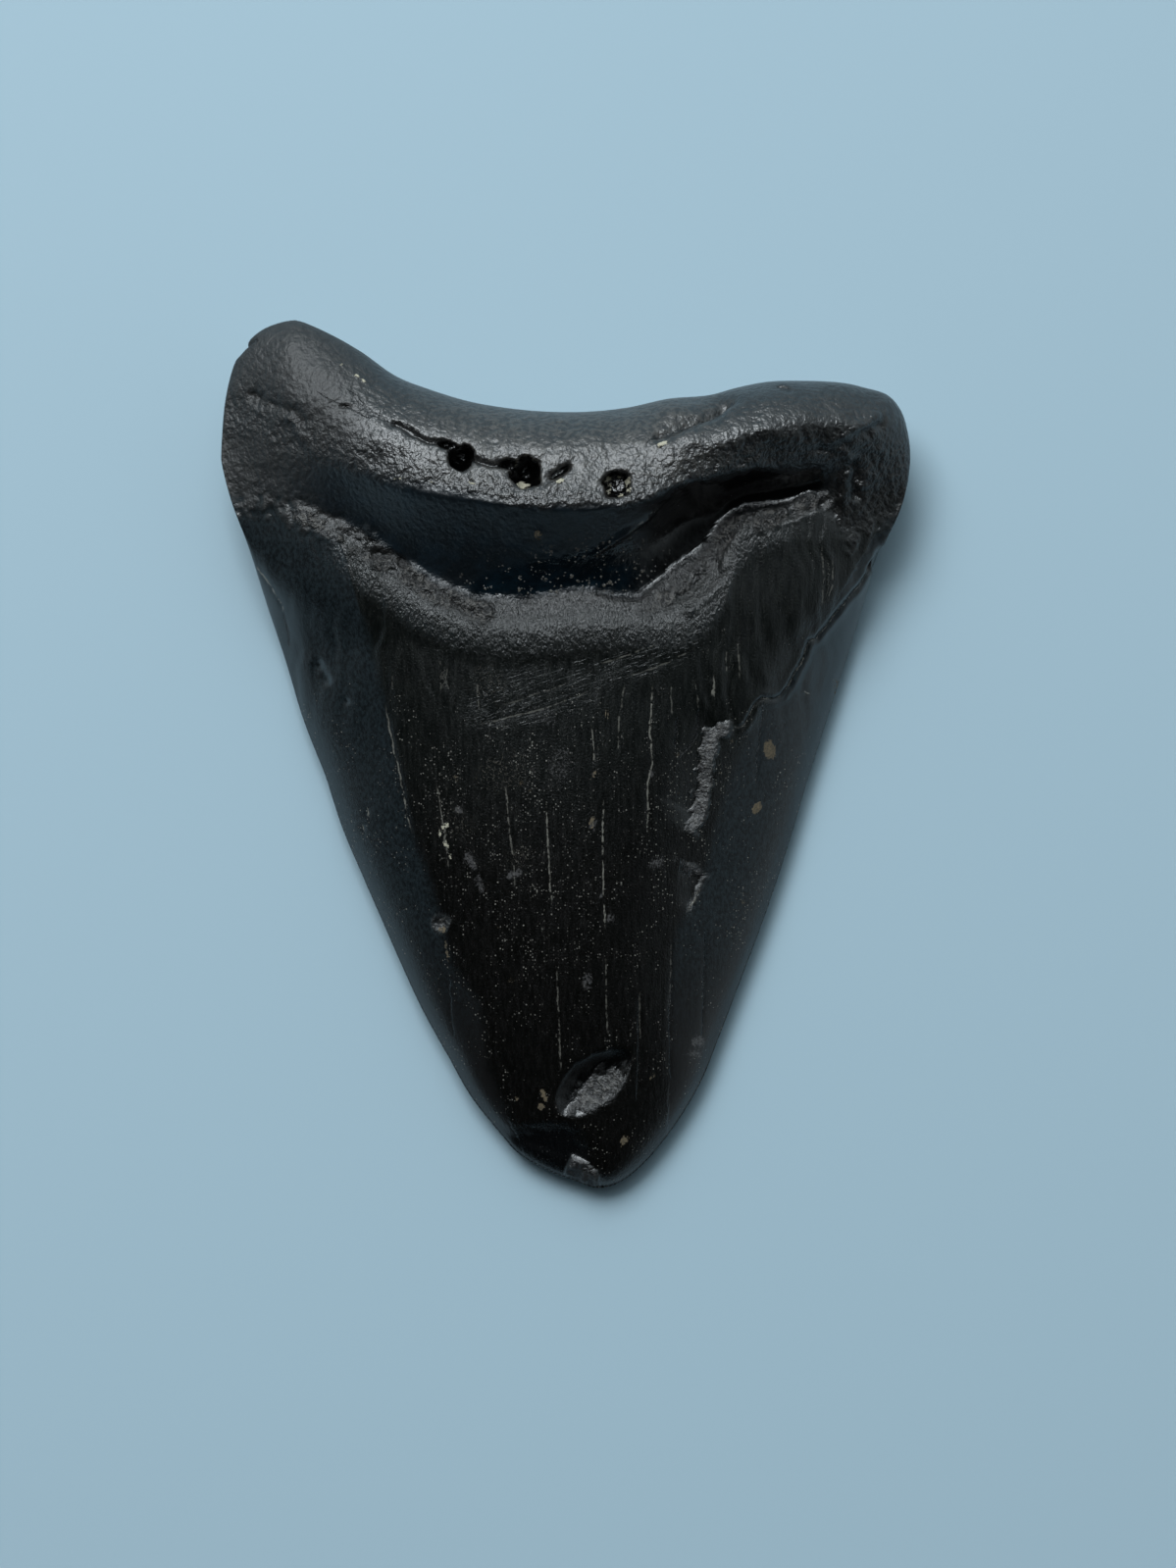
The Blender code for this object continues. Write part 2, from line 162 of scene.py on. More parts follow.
upper_places = ring_places(RINGS, 1.0)
x, y = upper_places.T
rim_gap = np.hypot(*path_gap(upper_places, outline_loop)[0].T)

# ---- Crown ----
# The enamel blade: a low dome along the middle of the bulging face, with a long facet down to
# each cutting edge. Lengths of the tooth run along y; stations are (place, value) pairs.
CROWN_RIM = 3.0                   # height of the cutting edges over the resting plane
WORN_LIP = 1.8                    # how much the worn cutting edges bulge
WORN_LIP_REACH = 1.8
SPINE_HEIGHT = [                  # height of the blade's middle over the resting plane
    (-51, 4.6), (-46, 5.7), (-40, 7), (-30, 9), (-20, 10.7), (-10, 12.1), (0, 13.3), (10, 14.4),
    (17, 15), (30, 15.4),
]
SPINE_PLACE = [(-51, 3.5), (-40, 2), (-20, 0.9), (0, 0.1), (30, 0)]
DOME_BEND = [(-51, 0.018), (-35, 0.012), (-20, 0.0095), (-5, 0.0075), (10, 0.0055), (25, 0.0042)]
FACET_SLOPE_LEFT = 0.62
FACET_SLOPE_RIGHT = [(-51, 0.50), (0, 0.54), (10, 0.76), (30, 0.92)]
FACET_SOFTNESS = 0.9              # roundness of the facets' inner borders


def smooth(share):
    """Ease from 0 to 1: 3t^2 - 2t^3, held outside."""
    share = np.clip(share, 0.0, 1.0)
    return share * share * (3.0 - 2.0 * share)


def read_off(place, stations):
    """Value at each place on a smooth line through the stations."""
    places, values = np.array(stations).T
    slopes = np.gradient(values, places)
    left = np.clip(np.searchsorted(places, place) - 1, 0, len(places) - 2)
    gap = places[left + 1] - places[left]
    t = np.clip((place - places[left]) / gap, 0.0, 1.0)
    return cubic(t, values[left], values[left + 1], gap * slopes[left], gap * slopes[left + 1])


def lower_of(first, second, softness):
    """Smaller of two heights, the corner rounded: half of a + b - sqrt((a - b)^2 + s^2)."""
    return 0.5 * (first + second - np.sqrt((first - second) ** 2 + softness ** 2))


dome = read_off(y, SPINE_HEIGHT) - read_off(y, DOME_BEND) * (x - read_off(y, SPINE_PLACE)) ** 2
# The outline starts half-way up the right side, so that side wraps round to its first points.
left_side = outline[left_top_index:tip_index + 1:2]
right_side = np.vstack([outline[tip_index::2], outline[:tip_index // 4:2]])
left_gap = np.hypot(*path_gap(upper_places, left_side)[0].T)
right_gap = np.hypot(*path_gap(upper_places, right_side)[0].T)

# ---- Root, hollow and enamel ledge ----
# Dense bone with a thick crest. Below the crest the softer band between bone and enamel has
# weathered out and left a hollow, deepest under the crest's right half. The enamel's broken
# edge is a ledge along it, a leaning lip and then a short wall.
ROOT_THICKNESS = 22.0             # at the crest, by the nutrient holes
CREST_MIDDLE = 2.5                # place of the crest's highest point
CREST_SPAN = 60.0                 # sideways reach of the crest's arch
CREST_SOFTNESS = [                # how round the crest's shoulder is
    (-40, 2), (-26, 1), (-16, 0.6), (-5, 0.6), (8, 0.8), (15, 1.4), (25, 2.2), (40, 2.6),
]
ROOT_RIM = 8.5                    # height of the root's widest line
ROOT_ROUNDING = [(-40, 8.5), (-28, 8.5), (-18, 7.5), (-5, 6), (10, 6), (20, 7.5), (30, 8), (40, 8)]
BAND_TILT = [                     # slope of the band above the crest
    (-40, 0), (-30, 0.05), (-20, 0.2), (-10, 0.3), (5, 0.34), (12, 0.3), (20, 0.12), (30, 0),
    (40, 0),
]
ROOT_BEGINS, ROOT_FULL = 12.0, 28.0# between these, crown turns to root
CREST_LINE = [                    # where the crest breaks into the hollow
    (-40, 40), (-36.2, 39.6), (-31.9, 37.4), (-26.1, 33.8), (-20.4, 31), (-16.5, 30),
    (-12.3, 29.3), (-4.5, 28.2), (3, 28), (8.2, 28.6), (12.8, 30.6), (17.4, 31.8), (22.5, 32.8),
    (29.1, 33.4), (34.8, 33.6), (40, 33.6),
]
LEDGE_LINE = [                    # upper border of the crown, where the ledge's lip starts
    (-40, 29.6), (-33.6, 28), (-27.5, 25), (-24, 22.4), (-20.6, 19.9), (-17.7, 17.8), (-12, 15.3),
    (-8.5, 14.7), (-4.5, 14.6), (3.6, 15.3), (8.2, 15.2), (12.8, 15.5), (15.5, 16.6), (18.2, 20),
    (20, 24.5), (21.5, 26.2), (25.6, 27.2), (29.5, 28.2), (31.5, 25.6), (33, 23), (35.4, 25.4),
    (40, 27.6),
]
LEDGE_FOOT = [                    # foot of the ledge in the hollow
    (-40, 31), (-33.6, 29.8), (-28.4, 28.2), (-21.5, 24.4), (-16.9, 20.9), (-11.7, 18.2),
    (-6.6, 17.7), (2.6, 18.8), (8.4, 18.2), (13, 21.5), (15.9, 23.6), (19.3, 27.4), (25.6, 28.9),
    (29.5, 30), (31.5, 27.8), (33, 25.6), (35.4, 27.6), (40, 29.6),
]
LEDGE_LEAN = 0.46                 # slope of the ledge's lip towards the hollow
LEAN_LIMIT = 0.97                 # the most of the ledge's height that the lip leans down
WALL_START, WALL_RUN = 0.2, 0.6   # the rest is a wall, from just before the ledge's foot
LEDGE_STEP = [                    # height of the ledge
    (-40, 0), (-31.5, 0.05), (-26, 0.7), (-16.9, 1.4), (-5, 1.6), (3, 1.8), (13, 2.6), (19.3, 2.7),
    (25.6, 1.6), (30, 0.6), (40, 0),
]
BROW_DROP = [(-40, 0.6), (-26, 0.8), (-16, 0.4), (0, 0.1), (8, 0.3), (15, 1.2), (25, 2.3), (40, 2)]
BROW_WIDTH = 5.0                  # over which the crest droops before it breaks into the hollow
BAND_WIDTH = 14.0                 # how far the band above the crest tilts back
HOLLOW_CURVE = [                  # exponent of the climb to the crest; more is deeper
    (-40, 1), (-28, 1.05), (-20, 1.4), (-10, 1.6), (4, 1.8), (10, 3), (20, 4), (28, 2.6),
    (40, 1.2),
]


def round_in(distance, reach, fullness):
    """Rise from 0 at the rim to 1 at the reach; 2 is a quarter circle, 1 a straight ramp."""
    share = np.clip(distance / reach, 0.0, 1.0)
    return (1.0 - (1.0 - share) ** fullness) ** (1.0 / fullness)


def rim_height(along_tooth):
    """Height of the widest line: low along the cutting edges, higher round the root."""
    root_share = smooth((along_tooth - ROOT_BEGINS) / (ROOT_FULL - ROOT_BEGINS))
    return CROWN_RIM + (ROOT_RIM - CROWN_RIM) * root_share


def ramp_to(share):
    """Straight ramp from 0 to 1 with a rounded start: (t + sqrt(t^2 + 0.05)) / 2, held at 1."""
    return np.minimum(0.5 * (share + np.sqrt(share ** 2 + 0.05)), 1.0)


ledge, foot, crest_line = (read_off(x, line) for line in (LEDGE_LINE, LEDGE_FOOT, CREST_LINE))
step = read_off(x, LEDGE_STEP)
lean = np.minimum(LEDGE_LEAN * (foot - ledge), LEAN_LIMIT * step)
lip_run = ramp_to((y - ledge) / (foot - ledge))
wall = smooth((y - foot + WALL_START) / WALL_RUN)
floor_height = dome - lean * lip_run - (step - lean) * wall
crest = ROOT_THICKNESS * (1.0 - ((x - CREST_MIDDLE) / CREST_SPAN) ** 2)
crest = crest - read_off(x, BROW_DROP) * smooth((crest_line + BROW_WIDTH - y) / BROW_WIDTH)
crest = crest - read_off(x, BAND_TILT) * np.clip(y - crest_line, 0.0, BAND_WIDTH)
climb = np.clip((y - foot) / (crest_line - foot), 0.0, 1.3)
ramp = floor_height + (crest - floor_height) * climb ** read_off(x, HOLLOW_CURVE)
body = lower_of(ramp, crest, read_off(x, CREST_SOFTNESS))
rim = rim_height(y)
worn_lip = WORN_LIP * (1.0 - np.exp(-rim_gap / WORN_LIP_REACH))
crown = lower_of(body, rim + worn_lip + FACET_SLOPE_LEFT * left_gap, FACET_SOFTNESS)
crown = lower_of(crown, rim + worn_lip + read_off(y, FACET_SLOPE_RIGHT) * right_gap,
                 FACET_SOFTNESS)
crown = np.where(rim_gap < 1e-6, rim, crown)
root = rim + (body - rim) * round_in(rim_gap, read_off(x, ROOT_ROUNDING), 2.0)
root_share = smooth((y - ROOT_BEGINS) / (ROOT_FULL - ROOT_BEGINS))
upper_height = crown + (root - crown) * root_share

# ---- Weathered surface of the root ----
# Bone worn to a hammered, pebbly skin. Nutrient holes open along the crest, a crack runs from
# the left one up the lobe, and a furrow runs up the right lobe. Everything is worn round.
PEBBLE = 0.9                      # width of the bone's pebbles
PEBBLE_HEIGHT = 0.09
SWELL, SWELL_HEIGHT = 2.6, 0.14   # width and height of the bone's gentle swells
HOLES = [                         # middle, half sizes, turn in degrees, depth
    ((-11.8, 34.1), (1.45, 1.65), -30, 4.5),
    ((-13.4, 35.5), (1.6, 0.6), -12, 1.2),
    ((-4.5, 32.2), (1.7, 1.75), 8, 4.5),
    ((-6.2, 33.2), (1.3, 0.6), -10, 1.4),
    ((-0.6, 32.3), (1.5, 0.55), 31, 1.1),
    ((6, 30.9), (1.65, 1.6), 0, 2.6),
    ((-25.3, 40.1), (0.65, 0.3), 10, 0.7),
    ((25.1, 42.3), (0.9, 0.35), -15, 0.5),
    ((29.2, 35.3), (0.6, 0.45), 20, 0.5),
    ((-21.6, 23.3), (1.1, 0.7), -30, 0.9),
    ((-18.9, 22.3), (0.8, 0.6), -30, 0.8),
]
HOLE_CRACK = [
    (-12.9, 35.8), (-14.6, 35.9), (-16.1, 36.1), (-17.5, 37), (-18.6, 37.8), (-20.4, 38.2),
    (-22.1, 39.2), (-23.6, 40.7), (-25, 42.2),
]
HOLE_SEAM = [(-11, 33.9), (-8.9, 33.4), (-7.5, 33.1), (-6, 33.2)]
FURROW = [(9.3, 35.6), (10.6, 36.8), (13, 38), (15.3, 39), (17.2, 40), (19.4, 41.2), (20.6, 41.9)]
LOBE_CREASE = [
    (-37, 42.3), (-35.5, 41.4), (-34.2, 40.5), (-31.9, 39.9), (-30.5, 38.8), (-29.6, 37.6),
]
LOBE_RIDGE = [(-32.3, 39.4), (-31, 38), (-29.8, 36.1)]
LOBE_NOTCH = [(-38.6, 46.8), (-37.4, 47.6), (-36.4, 48.1), (-35.7, 48.3)]
RIGHT_CREASE = [(29, 34.4), (30.9, 35.2), (33.2, 36.8), (34.9, 37.2), (37.2, 39.2)]
RIGHT_CREASE_EDGE = [(30.2, 35.5), (32.9, 37.4), (34.5, 37.9), (36.6, 39.7)]
RIGHT_RIDGE = [(32.7, 35.6), (32.4, 32), (32, 29), (32.1, 26.7)]
RIGHT_SLOT = [(33.1, 34.2), (33.8, 33), (33.4, 31.6), (33.7, 30.4), (33.2, 29.6)]
ROOT_GROOVES = [                  # path, width, depth, ends, patchy; less than 0 deep is a ridge
    (HOLE_CRACK[:6], 0.3, 0.5, 0.1), (HOLE_SEAM, 0.3, 0.6, 0.05), (FURROW, 1, 0.8, 0.3, 0.5),
    (FURROW, 0.35, 0.4, 0.2), (LOBE_CREASE, 0.45, 0.45), (RIGHT_CREASE, 0.45, 0.45),
    (LOBE_RIDGE, 0.55, -0.4), (RIGHT_RIDGE, 0.6, -0.4), (RIGHT_CREASE_EDGE, 0.6, -0.35),
    (RIGHT_SLOT, 0.55, 0.8),
]
BONE_RINGS = [                    # middle, half sizes of faint rings in the bone
    ((-8.3, 36.8), (0.95, 0.85)), ((-0.8, 37.4), (0.95, 0.8)), ((-0.7, 37.4), (0.5, 0.4)),
    ((-25.3, 40.1), (1.25, 0.95)), ((-31.4, 39), (0.9, 0.7)),
]
BONE_RING_HEIGHT = -0.12


def random_field(across, along, cell, seed):
    """Smooth random field from about -1 to 1.

    Random values on two square nets turned against each other; between a net's corners they
    are blended with 6t^5 - 15t^4 + 10t^3.
    """
    total = 0.0
    for number, turn in enumerate((0.45, 1.35)):
        table = np.random.default_rng(seed + number).uniform(-1.0, 1.0, (256, 256))
        u = (across * math.cos(turn) + along * math.sin(turn)) / cell
        v = (along * math.cos(turn) - across * math.sin(turn)) / cell
        column, row = np.floor(u).astype(int), np.floor(v).astype(int)
        u, v = u - column, v - row
        u, v = (t * t * t * (t * (6.0 * t - 15.0) + 10.0) for t in (u, v))
        low = table[row % 256, column % 256] * (1 - u) + table[row % 256, (column + 1) % 256] * u
        high = (table[(row + 1) % 256, column % 256] * (1 - u)
                + table[(row + 1) % 256, (column + 1) % 256] * u)
        total = total + low * (1 - v) + high * v
    return total * 0.75


def bumps(cell, seed):
    """Random field over the places of the upper surface."""
    return random_field(x, y, cell, seed)


def oval_radius(spots, middle, half_sizes, turn):
    """Distance from the middle of an oval as a share of its edge's: 1 on the edge."""
    angle = math.radians(turn)
    dx, dy = spots[:, 0] - middle[0], spots[:, 1] - middle[1]
    u = (dx * math.cos(angle) + dy * math.sin(angle)) / half_sizes[0]
    v = (dy * math.cos(angle) - dx * math.sin(angle)) / half_sizes[1]
    return np.hypot(u, v)


def groove(path, width, depth, ends=0.12, patchy=1.0):
    """Rounded furrow along a path: depth times exp(-(gap / width)^2), shallow at both ends and,
    if patchy, deeper and shallower by turns along the way."""
    away, along, _ = path_gap(upper_places, path, 3.0 * width)
    fade = smooth(along / ends) * smooth((1.0 - along) / ends) * (1.0 + patchy * uneven)
    return -depth * np.exp(-(away ** 2).sum(1) / width ** 2) * fade


HOLLOW_TOP = [                    # upper end of the hollow's finish
    (-40, 33), (-34, 34), (-28, 34.3), (-20.6, 32.3), (-17.7, 31.2), (-12, 30.2), (-4.5, 28.2),
    (3, 28), (8.2, 28.4), (9.5, 28.9), (14.7, 31), (20.5, 32.2), (24.8, 33), (28.8, 33.3),
    (40, 33.3),
]

# Zones of the surface, 1 inside and easing to 0 outside: enamel up to the middle of the ledge's
# lip, the hollow above it, bone elsewhere, with a band above the crest that is painted paler as
# painted sheen and a smoother crest in the bone.
enamel_top = ledge + 0.55 * (foot - ledge)
enamel_blur = 0.9 + 3.0 * smooth((np.abs(x) - 26.0) / 5.0)
enamel = smooth((enamel_top - y) / enamel_blur + 0.5 + 0.5 * bumps(0.7, 11))
hollow_top = read_off(x, HOLLOW_TOP) + 0.5 * bumps(1.4, 13)
hollow_blur = 1.2 + 2.4 * smooth((-12.0 - x) / 10.0)
hollow = smooth((y - foot + 0.1) / 0.8) * smooth((hollow_top + 0.5 - y) / hollow_blur + 0.2)
hollow = hollow * smooth((31.5 - x) / 2.5) * smooth((x + 38.0) / 16.0)
bone = (1.0 - enamel) * (1.0 - hollow)
# Painted sheen: the band above the crest, which faces the light, is painted paler.
painted_sheen_band = smooth((y - crest_line + 0.5) / 4.0) * smooth((22.0 - np.abs(x)) / 12.0) * bone
pebbles = random_field(x, y * 0.85, PEBBLE, 21) + 0.5 * bumps(0.6 * PEBBLE, 25)
near_crest = smooth((crest_line + 5.0 - y) / 4.0) * smooth((y - crest_line + 4.0) / 3.0)
relief = PEBBLE_HEIGHT * pebbles * bone * (0.45 + 0.55 * near_crest) * smooth(rim_gap / 4.0)
relief += SWELL_HEIGHT * bumps(SWELL, 41) * bone

uneven = 0.45 * bumps(1.2, 55)
sink = np.zeros_like(x)
for middle, half_sizes, turn, depth in HOLES:
    radius = oval_radius(upper_places, middle, half_sizes, turn)
    radius = radius * (1.0 + 0.16 * bumps(0.9, 51))
    sink = np.minimum(sink, -depth * np.clip(1.0 - radius ** 4, 0.0, 1.0))
    relief -= 0.14 * min(depth, 1.0) * np.exp(-((radius - 1.0) / 0.5) ** 2) * (radius > 0.7)
wander = np.column_stack([bumps(1.1, 61), bumps(1.1, 63)]) * 0.22
plain_places, upper_places = upper_places, upper_places + wander
for cut in ROOT_GROOVES:
    relief += groove(*cut)
rim_cut = groove(LOBE_NOTCH, 0.32, 0.9, 0.1)
for middle, half_sizes in BONE_RINGS:
    off_ring = oval_radius(upper_places, middle, half_sizes, 0.0) - 1.0
    relief += BONE_RING_HEIGHT * np.exp(-(off_ring / 0.25) ** 2)
upper_places = plain_places

# ---- Weathered hollow and broken ledge ----
# The hollow's floor is smooth and dark, deepest under the right crest, with a thin ridge in it.
# The ledge is rounded in the middle and broken to a rough, glinting edge at both ends.
DEEPER_HOLLOW = [(9, 24.6), (15, 26.8), (20, 30), (27, 32.2)]
INNER_RIDGE = [(2.6, 22.7), (4.9, 24.2), (7.2, 25.8), (9, 26.9), (10.5, 28.3), (10.9, 28.8)]
LEDGE_SWELL = [
    (-26, 23.4), (-22.1, 20.4), (-16.9, 17), (-11.7, 14.9), (-5.4, 14.4), (1.5, 15), (8.4, 14.9),
    (13, 15.2), (17.5, 18.2), (20.5, 23.5),
]
BROKEN_EDGES = [                  # path, reach to each side, strength
    ([(9.5, 17.2), (12.4, 18.6), (14.8, 21.2), (17.3, 23.6), (18.8, 25.8), (20.4, 27.3)],
     2.2, 0.75),
    ([(22.6, 27), (25.4, 28), (30, 29.9)], 1.7, 1),
    ([(-32.4, 28.6), (-29, 27.2), (-25.6, 25.6), (-22.4, 23.6), (-19.6, 21.6), (-16.3, 19.6),
      (-13, 18), (-9.6, 16.4)], 1.9, 1.1),
]
BROKEN_GRAIN = 0.85               # width of the rubble's grains
BROKEN_HEIGHT = 0.28              # height of the rubble
FLOOR_RING = ((-6.3, 26.0), (1.4, 1.8), 0.0)
FLOOR_LUMP = ((-3.1, 25.2), (0.5, 0.5), 0.0)
LEDGE_GROOVES = [                 # splits, standing edges and swells, as in the root's list
    (DEEPER_HOLLOW, 3, 0.25, 0.3, 0), (INNER_RIDGE, 0.3, -0.3, 0.2),
    (LEDGE_SWELL, 2.4, -0.24, 0.2, 0),
    ([(-14.6, 18.9), (-12.7, 17.5), (-11.2, 16.6), (-9.6, 16)], 0.35, 0.5),
    ([(-26.5, 26.2), (-24.3, 24.9), (-22.5, 23.3), (-20.5, 21.6), (-17.6, 20)], 0.4, 0.35),
    ([(22, 26.6), (24.6, 27.4), (27, 28.2), (30.6, 29.6)], 0.4, 0.5),
    ([(12, 17.3), (14.2, 18.9), (16.2, 21.3), (17.6, 23.7), (19.2, 26.2)], 0.5, 0.5),
    ([(18.2, 20.8), (18.7, 23.2), (19.8, 25.1), (21, 27.2)], 0.5, -0.45),
    ([(13.4, 16.2), (15.3, 17.4), (17.4, 19.2), (18.2, 20.8)], 0.6, -0.35),
    ([(-22.9, 26.9), (-22.6, 25.6), (-21.7, 24.9)], 0.45, -0.4),
]

for cut in LEDGE_GROOVES:
    relief += groove(*cut)
lip_edge = np.exp(-((y - foot) / 0.8) ** 2) * smooth((30.0 - np.abs(x)) / 6.0)
relief += 0.45 * lip_edge * np.minimum(bumps(1.3, 107), 0.3)
lip = smooth((y - ledge + 4.5) / 3.0) * smooth((foot + 1.3 - y) / 0.9)
lip = lip * smooth((30.0 - np.abs(x)) / 8.0)
broken = np.zeros_like(x)
for path, reach, strength in BROKEN_EDGES:
    away = path_gap(upper_places, path, reach)[0]
    broken = np.maximum(broken, strength * smooth(1.0 - np.hypot(*away.T) / reach))
broken = broken * smooth((x + 33.5) / 5.0)
patches = 0.8 + 0.9 * bumps(2.4, 71) + 0.6 * bumps(0.9, 73)
broken = np.clip(broken * patches, 0.0, 1.0)
rubble = 1.0 - 2.4 * np.abs(random_field(x, y * 0.9, BROKEN_GRAIN, 81))
rubble += 0.7 * bumps(0.6 * BROKEN_GRAIN, 91)
relief += BROKEN_HEIGHT * rubble * broken
hammered = smooth((y - ledge + 5.5) / 3.0) * enamel * smooth((19.0 - np.abs(x)) / 5.0)
relief += 0.045 * hammered * random_field(x, y * 1.2, 0.5, 101)
floor_grit = smooth((26.5 - y + 0.25 * x) / 5.0) * smooth((x + 15.0) / 6.0)
floor_grit = hollow * floor_grit * smooth((14.0 - x) / 8.0)
relief += 0.10 * floor_grit * np.clip(bumps(0.5, 111) - 0.25, 0.0, 1.0)
off_ring = oval_radius(upper_places, *FLOOR_RING) - 1.0
relief -= 0.06 * np.exp(-(off_ring / 0.2) ** 2) * (1.0 + 2.0 * uneven)
relief += 0.3 * np.exp(-oval_radius(upper_places, *FLOOR_LUMP) ** 2)

# ---- Worn enamel ----
# Enamel wrinkled lengthwise, with drying cracks down the middle. A thin layer has flaked off
# inside the right crack, a conchoidal chip sits above the tip, and the tip itself is broken.
LEFT_FACET_LINE = [               # inner borders of the long facets
    (-23.5, 16), (-21.8, 10), (-20.9, 5.8), (-20.4, 3.1), (-20, 0.8), (-19.6, -0.9), (-19.1, -3.2),
    (-18.5, -6.1), (-17.9, -9), (-15.8, -14.7), (-14.6, -19.4), (-13.2, -24.5), (-10.2, -28.5),
    (-9.7, -32), (-9.3, -36.6), (-7, -42),
]
RIGHT_FACET_LINE = [
    (30.5, 16.5), (27.7, 11.7), (24.3, 6.7), (23, 4.7), (20.8, 1.6), (19.7, -1.3), (18.3, -5.3),
    (17.2, -9.6), (16.1, -14.7), (14.1, -18.2), (13, -20.5), (12.3, -26.2), (12.1, -30.8),
    (12, -38),
]
RIGHT_CRACK = [
    (36.8, 23.7), (35.5, 21.9), (34.3, 20), (32.5, 18.1), (31.6, 16.9), (30.2, 15.2), (29.1, 13.8),
    (28.2, 13.5), (27.7, 11.7), (26.8, 10), (26, 8.3), (25.1, 7.1), (24.3, 6.7), (22.8, 6.8),
    (22, 6.2), (21.3, 4.8), (20.7, 3.7), (19.3, 3.1),
]
SCARP = [
    (19.6, 3.2), (18.3, 3.3), (17.2, 2.4), (16.6, 0.5), (16.4, -1.6), (16.3, -3.4), (16, -5.3),
    (15.7, -7.1), (14.8, -8.2), (14.1, -9.2),
]
LOWER_SCARP = [(13, -12.6), (15, -13.2), (16.1, -14), (15.5, -15.6), (15, -17), (14.1, -18.2)]
EDGE_WEDGE = [(37.6, 24.9), (36.4, 22.9), (35.2, 21.2)]
CHIP, CHIP_DEPTH = ((3.25, -38.1), (5.4, 2.9), 38.0), 1.5
# The lit lower right of the chip's floor, painted as pale grains: painted light.
CHIP_LIT_SIDE = ((4.1, -38.9), (4.0, 1.75), 38.0)    # grainy part of the chip's floor
EDGE_PIT, EDGE_PIT_DEPTH = ((-14.6, -19.4), (1.15, 1.05), 0.0), 0.6
LEFT_DENT = [(-29.3, 11.5), (-28.4, 9.4), (-27.6, 8.1)]
LEFT_SMALL_DENT = [(-25.9, 6.9), (-25.4, 6)]
ENAMEL_GROOVES = [
    (LEFT_DENT, 0.7, 0.4, 0.3), (LEFT_SMALL_DENT, 0.4, 0.2, 0.3), (EDGE_WEDGE, 0.5, 0.7, 0.2),
    (RIGHT_CRACK, 0.3, 0.3, 0.05, 0.5), (RIGHT_CRACK, 0.75, -0.26, 0.05, 0.5),
]
WRINKLE, WRINKLE_HEIGHT = 0.8, 0.042
FACET_BLUR = 1.6                  # width over which the finish changes at a facet's border
TIP_BREAK = [
    (-10.5, -41.5), (-6.6, -43.1), (-3.1, -42.1), (0.3, -41.8), (2.6, -43.2), (3.6, -45.8),
    (4, -51.5),
]
TIP_RUBBLE = ((2.0, -49.2), (2.2, 1.4), -50.0)

blade = np.zeros_like(x)
for path, outer in ((LEFT_FACET_LINE, -1.0), (RIGHT_FACET_LINE, 1.0)):
    away, _, side = path_gap(upper_places, path)
    blade = np.maximum(blade, smooth(0.5 + outer * side * np.hypot(*away.T) / FACET_BLUR))
blade = blade * enamel
waved = x + 0.6 * random_field(x * 0.4, y, 2.4, 121)
wrinkles = random_field(waved, y * 0.16, WRINKLE, 131)
wrinkled = enamel * smooth((y + 2.0) / 10.0) * (1.0 - 0.5 * blade)
wrinkled = wrinkled * (1.0 + smooth((np.abs(x) - 10.0) / 10.0))
relief += WRINKLE_HEIGHT * wrinkles * wrinkled
relief += 0.05 * random_field(x, y * 0.7, 6.0, 141) * enamel
for cut in ENAMEL_GROOVES:
    relief += groove(*cut)


def scarp(path, drop, width, reach):
    """Flaked step: down by the drop on the path's right across the width, easing back out over
    the reach. Also gives a mask of the step's face."""
    away, along, side = path_gap(upper_places, path, reach)
    signed = -side * np.hypot(*away.T)
    fade = smooth(along / 0.2) * smooth((1.0 - along) / 0.2)
    fall = -drop * smooth(0.5 + signed / width) * smooth(1.0 - signed / reach) * fade
    ragged = np.abs(signed) * (1.0 + 0.45 * bumps(0.8, 171))
    face = smooth((0.5 * width - ragged) / 0.35)
    return fall, face * smooth(along / 0.06) * smooth((1.0 - along) / 0.06)


scarp_step, scarp_face = scarp(SCARP, 0.7, 1.7, 6.0)
lower_step, lower_face = scarp(LOWER_SCARP, 0.3, 0.9, 3.0)
relief += scarp_step + lower_step
rim_cut += groove(EDGE_WEDGE, 0.4, 0.5, 0.3)
chip_radius = oval_radius(upper_places, *CHIP) * (1.0 + 0.05 * bumps(1.5, 151))
chip_middle, chip_sizes, chip_turn = CHIP[0], CHIP[1], math.radians(CHIP[2])
chip_side = (x - chip_middle[0]) * math.sin(chip_turn) - (y - chip_middle[1]) * math.cos(chip_turn)
chip_lean = 1.0 - 0.35 * chip_side / chip_sizes[1]    # deepest towards the bowl's upper left
sink = np.minimum(sink, -CHIP_DEPTH * chip_lean * np.clip(1.0 - chip_radius ** 2.6, 0.0, 1.0))
pit_radius = oval_radius(upper_places, *EDGE_PIT) * (1.0 + 0.12 * bumps(0.8, 161))
sink = np.minimum(sink, -EDGE_PIT_DEPTH * np.clip(1.0 - pit_radius ** 3, 0.0, 1.0))
break_away, _, break_side = path_gap(upper_places, TIP_BREAK)
break_inside = -break_side * np.hypot(*break_away.T) * (y < -40.0)
tip_broken = smooth(break_inside / 2.6) * (break_inside > 0.0)
ripple = random_field((y + 42.0) / (x + 14.0) * 12.0, x * 0.25, 0.8, 181)
relief += tip_broken * (-0.6 + 0.12 * ripple) * smooth(rim_gap / 2.5)
rubble_radius = oval_radius(upper_places, *TIP_RUBBLE) * (1.0 + 0.2 * bumps(0.9, 185))
tip_rubble = smooth((1.15 - rubble_radius) / 0.2)
relief += tip_rubble * (0.25 + 0.2 * rubble)
chip_floor = smooth((1.02 - chip_radius) / 0.1)
relief += 0.08 * chip_floor * bumps(0.5, 191)
relief += 0.12 * (scarp_face + lower_face) * bumps(0.6, 195)
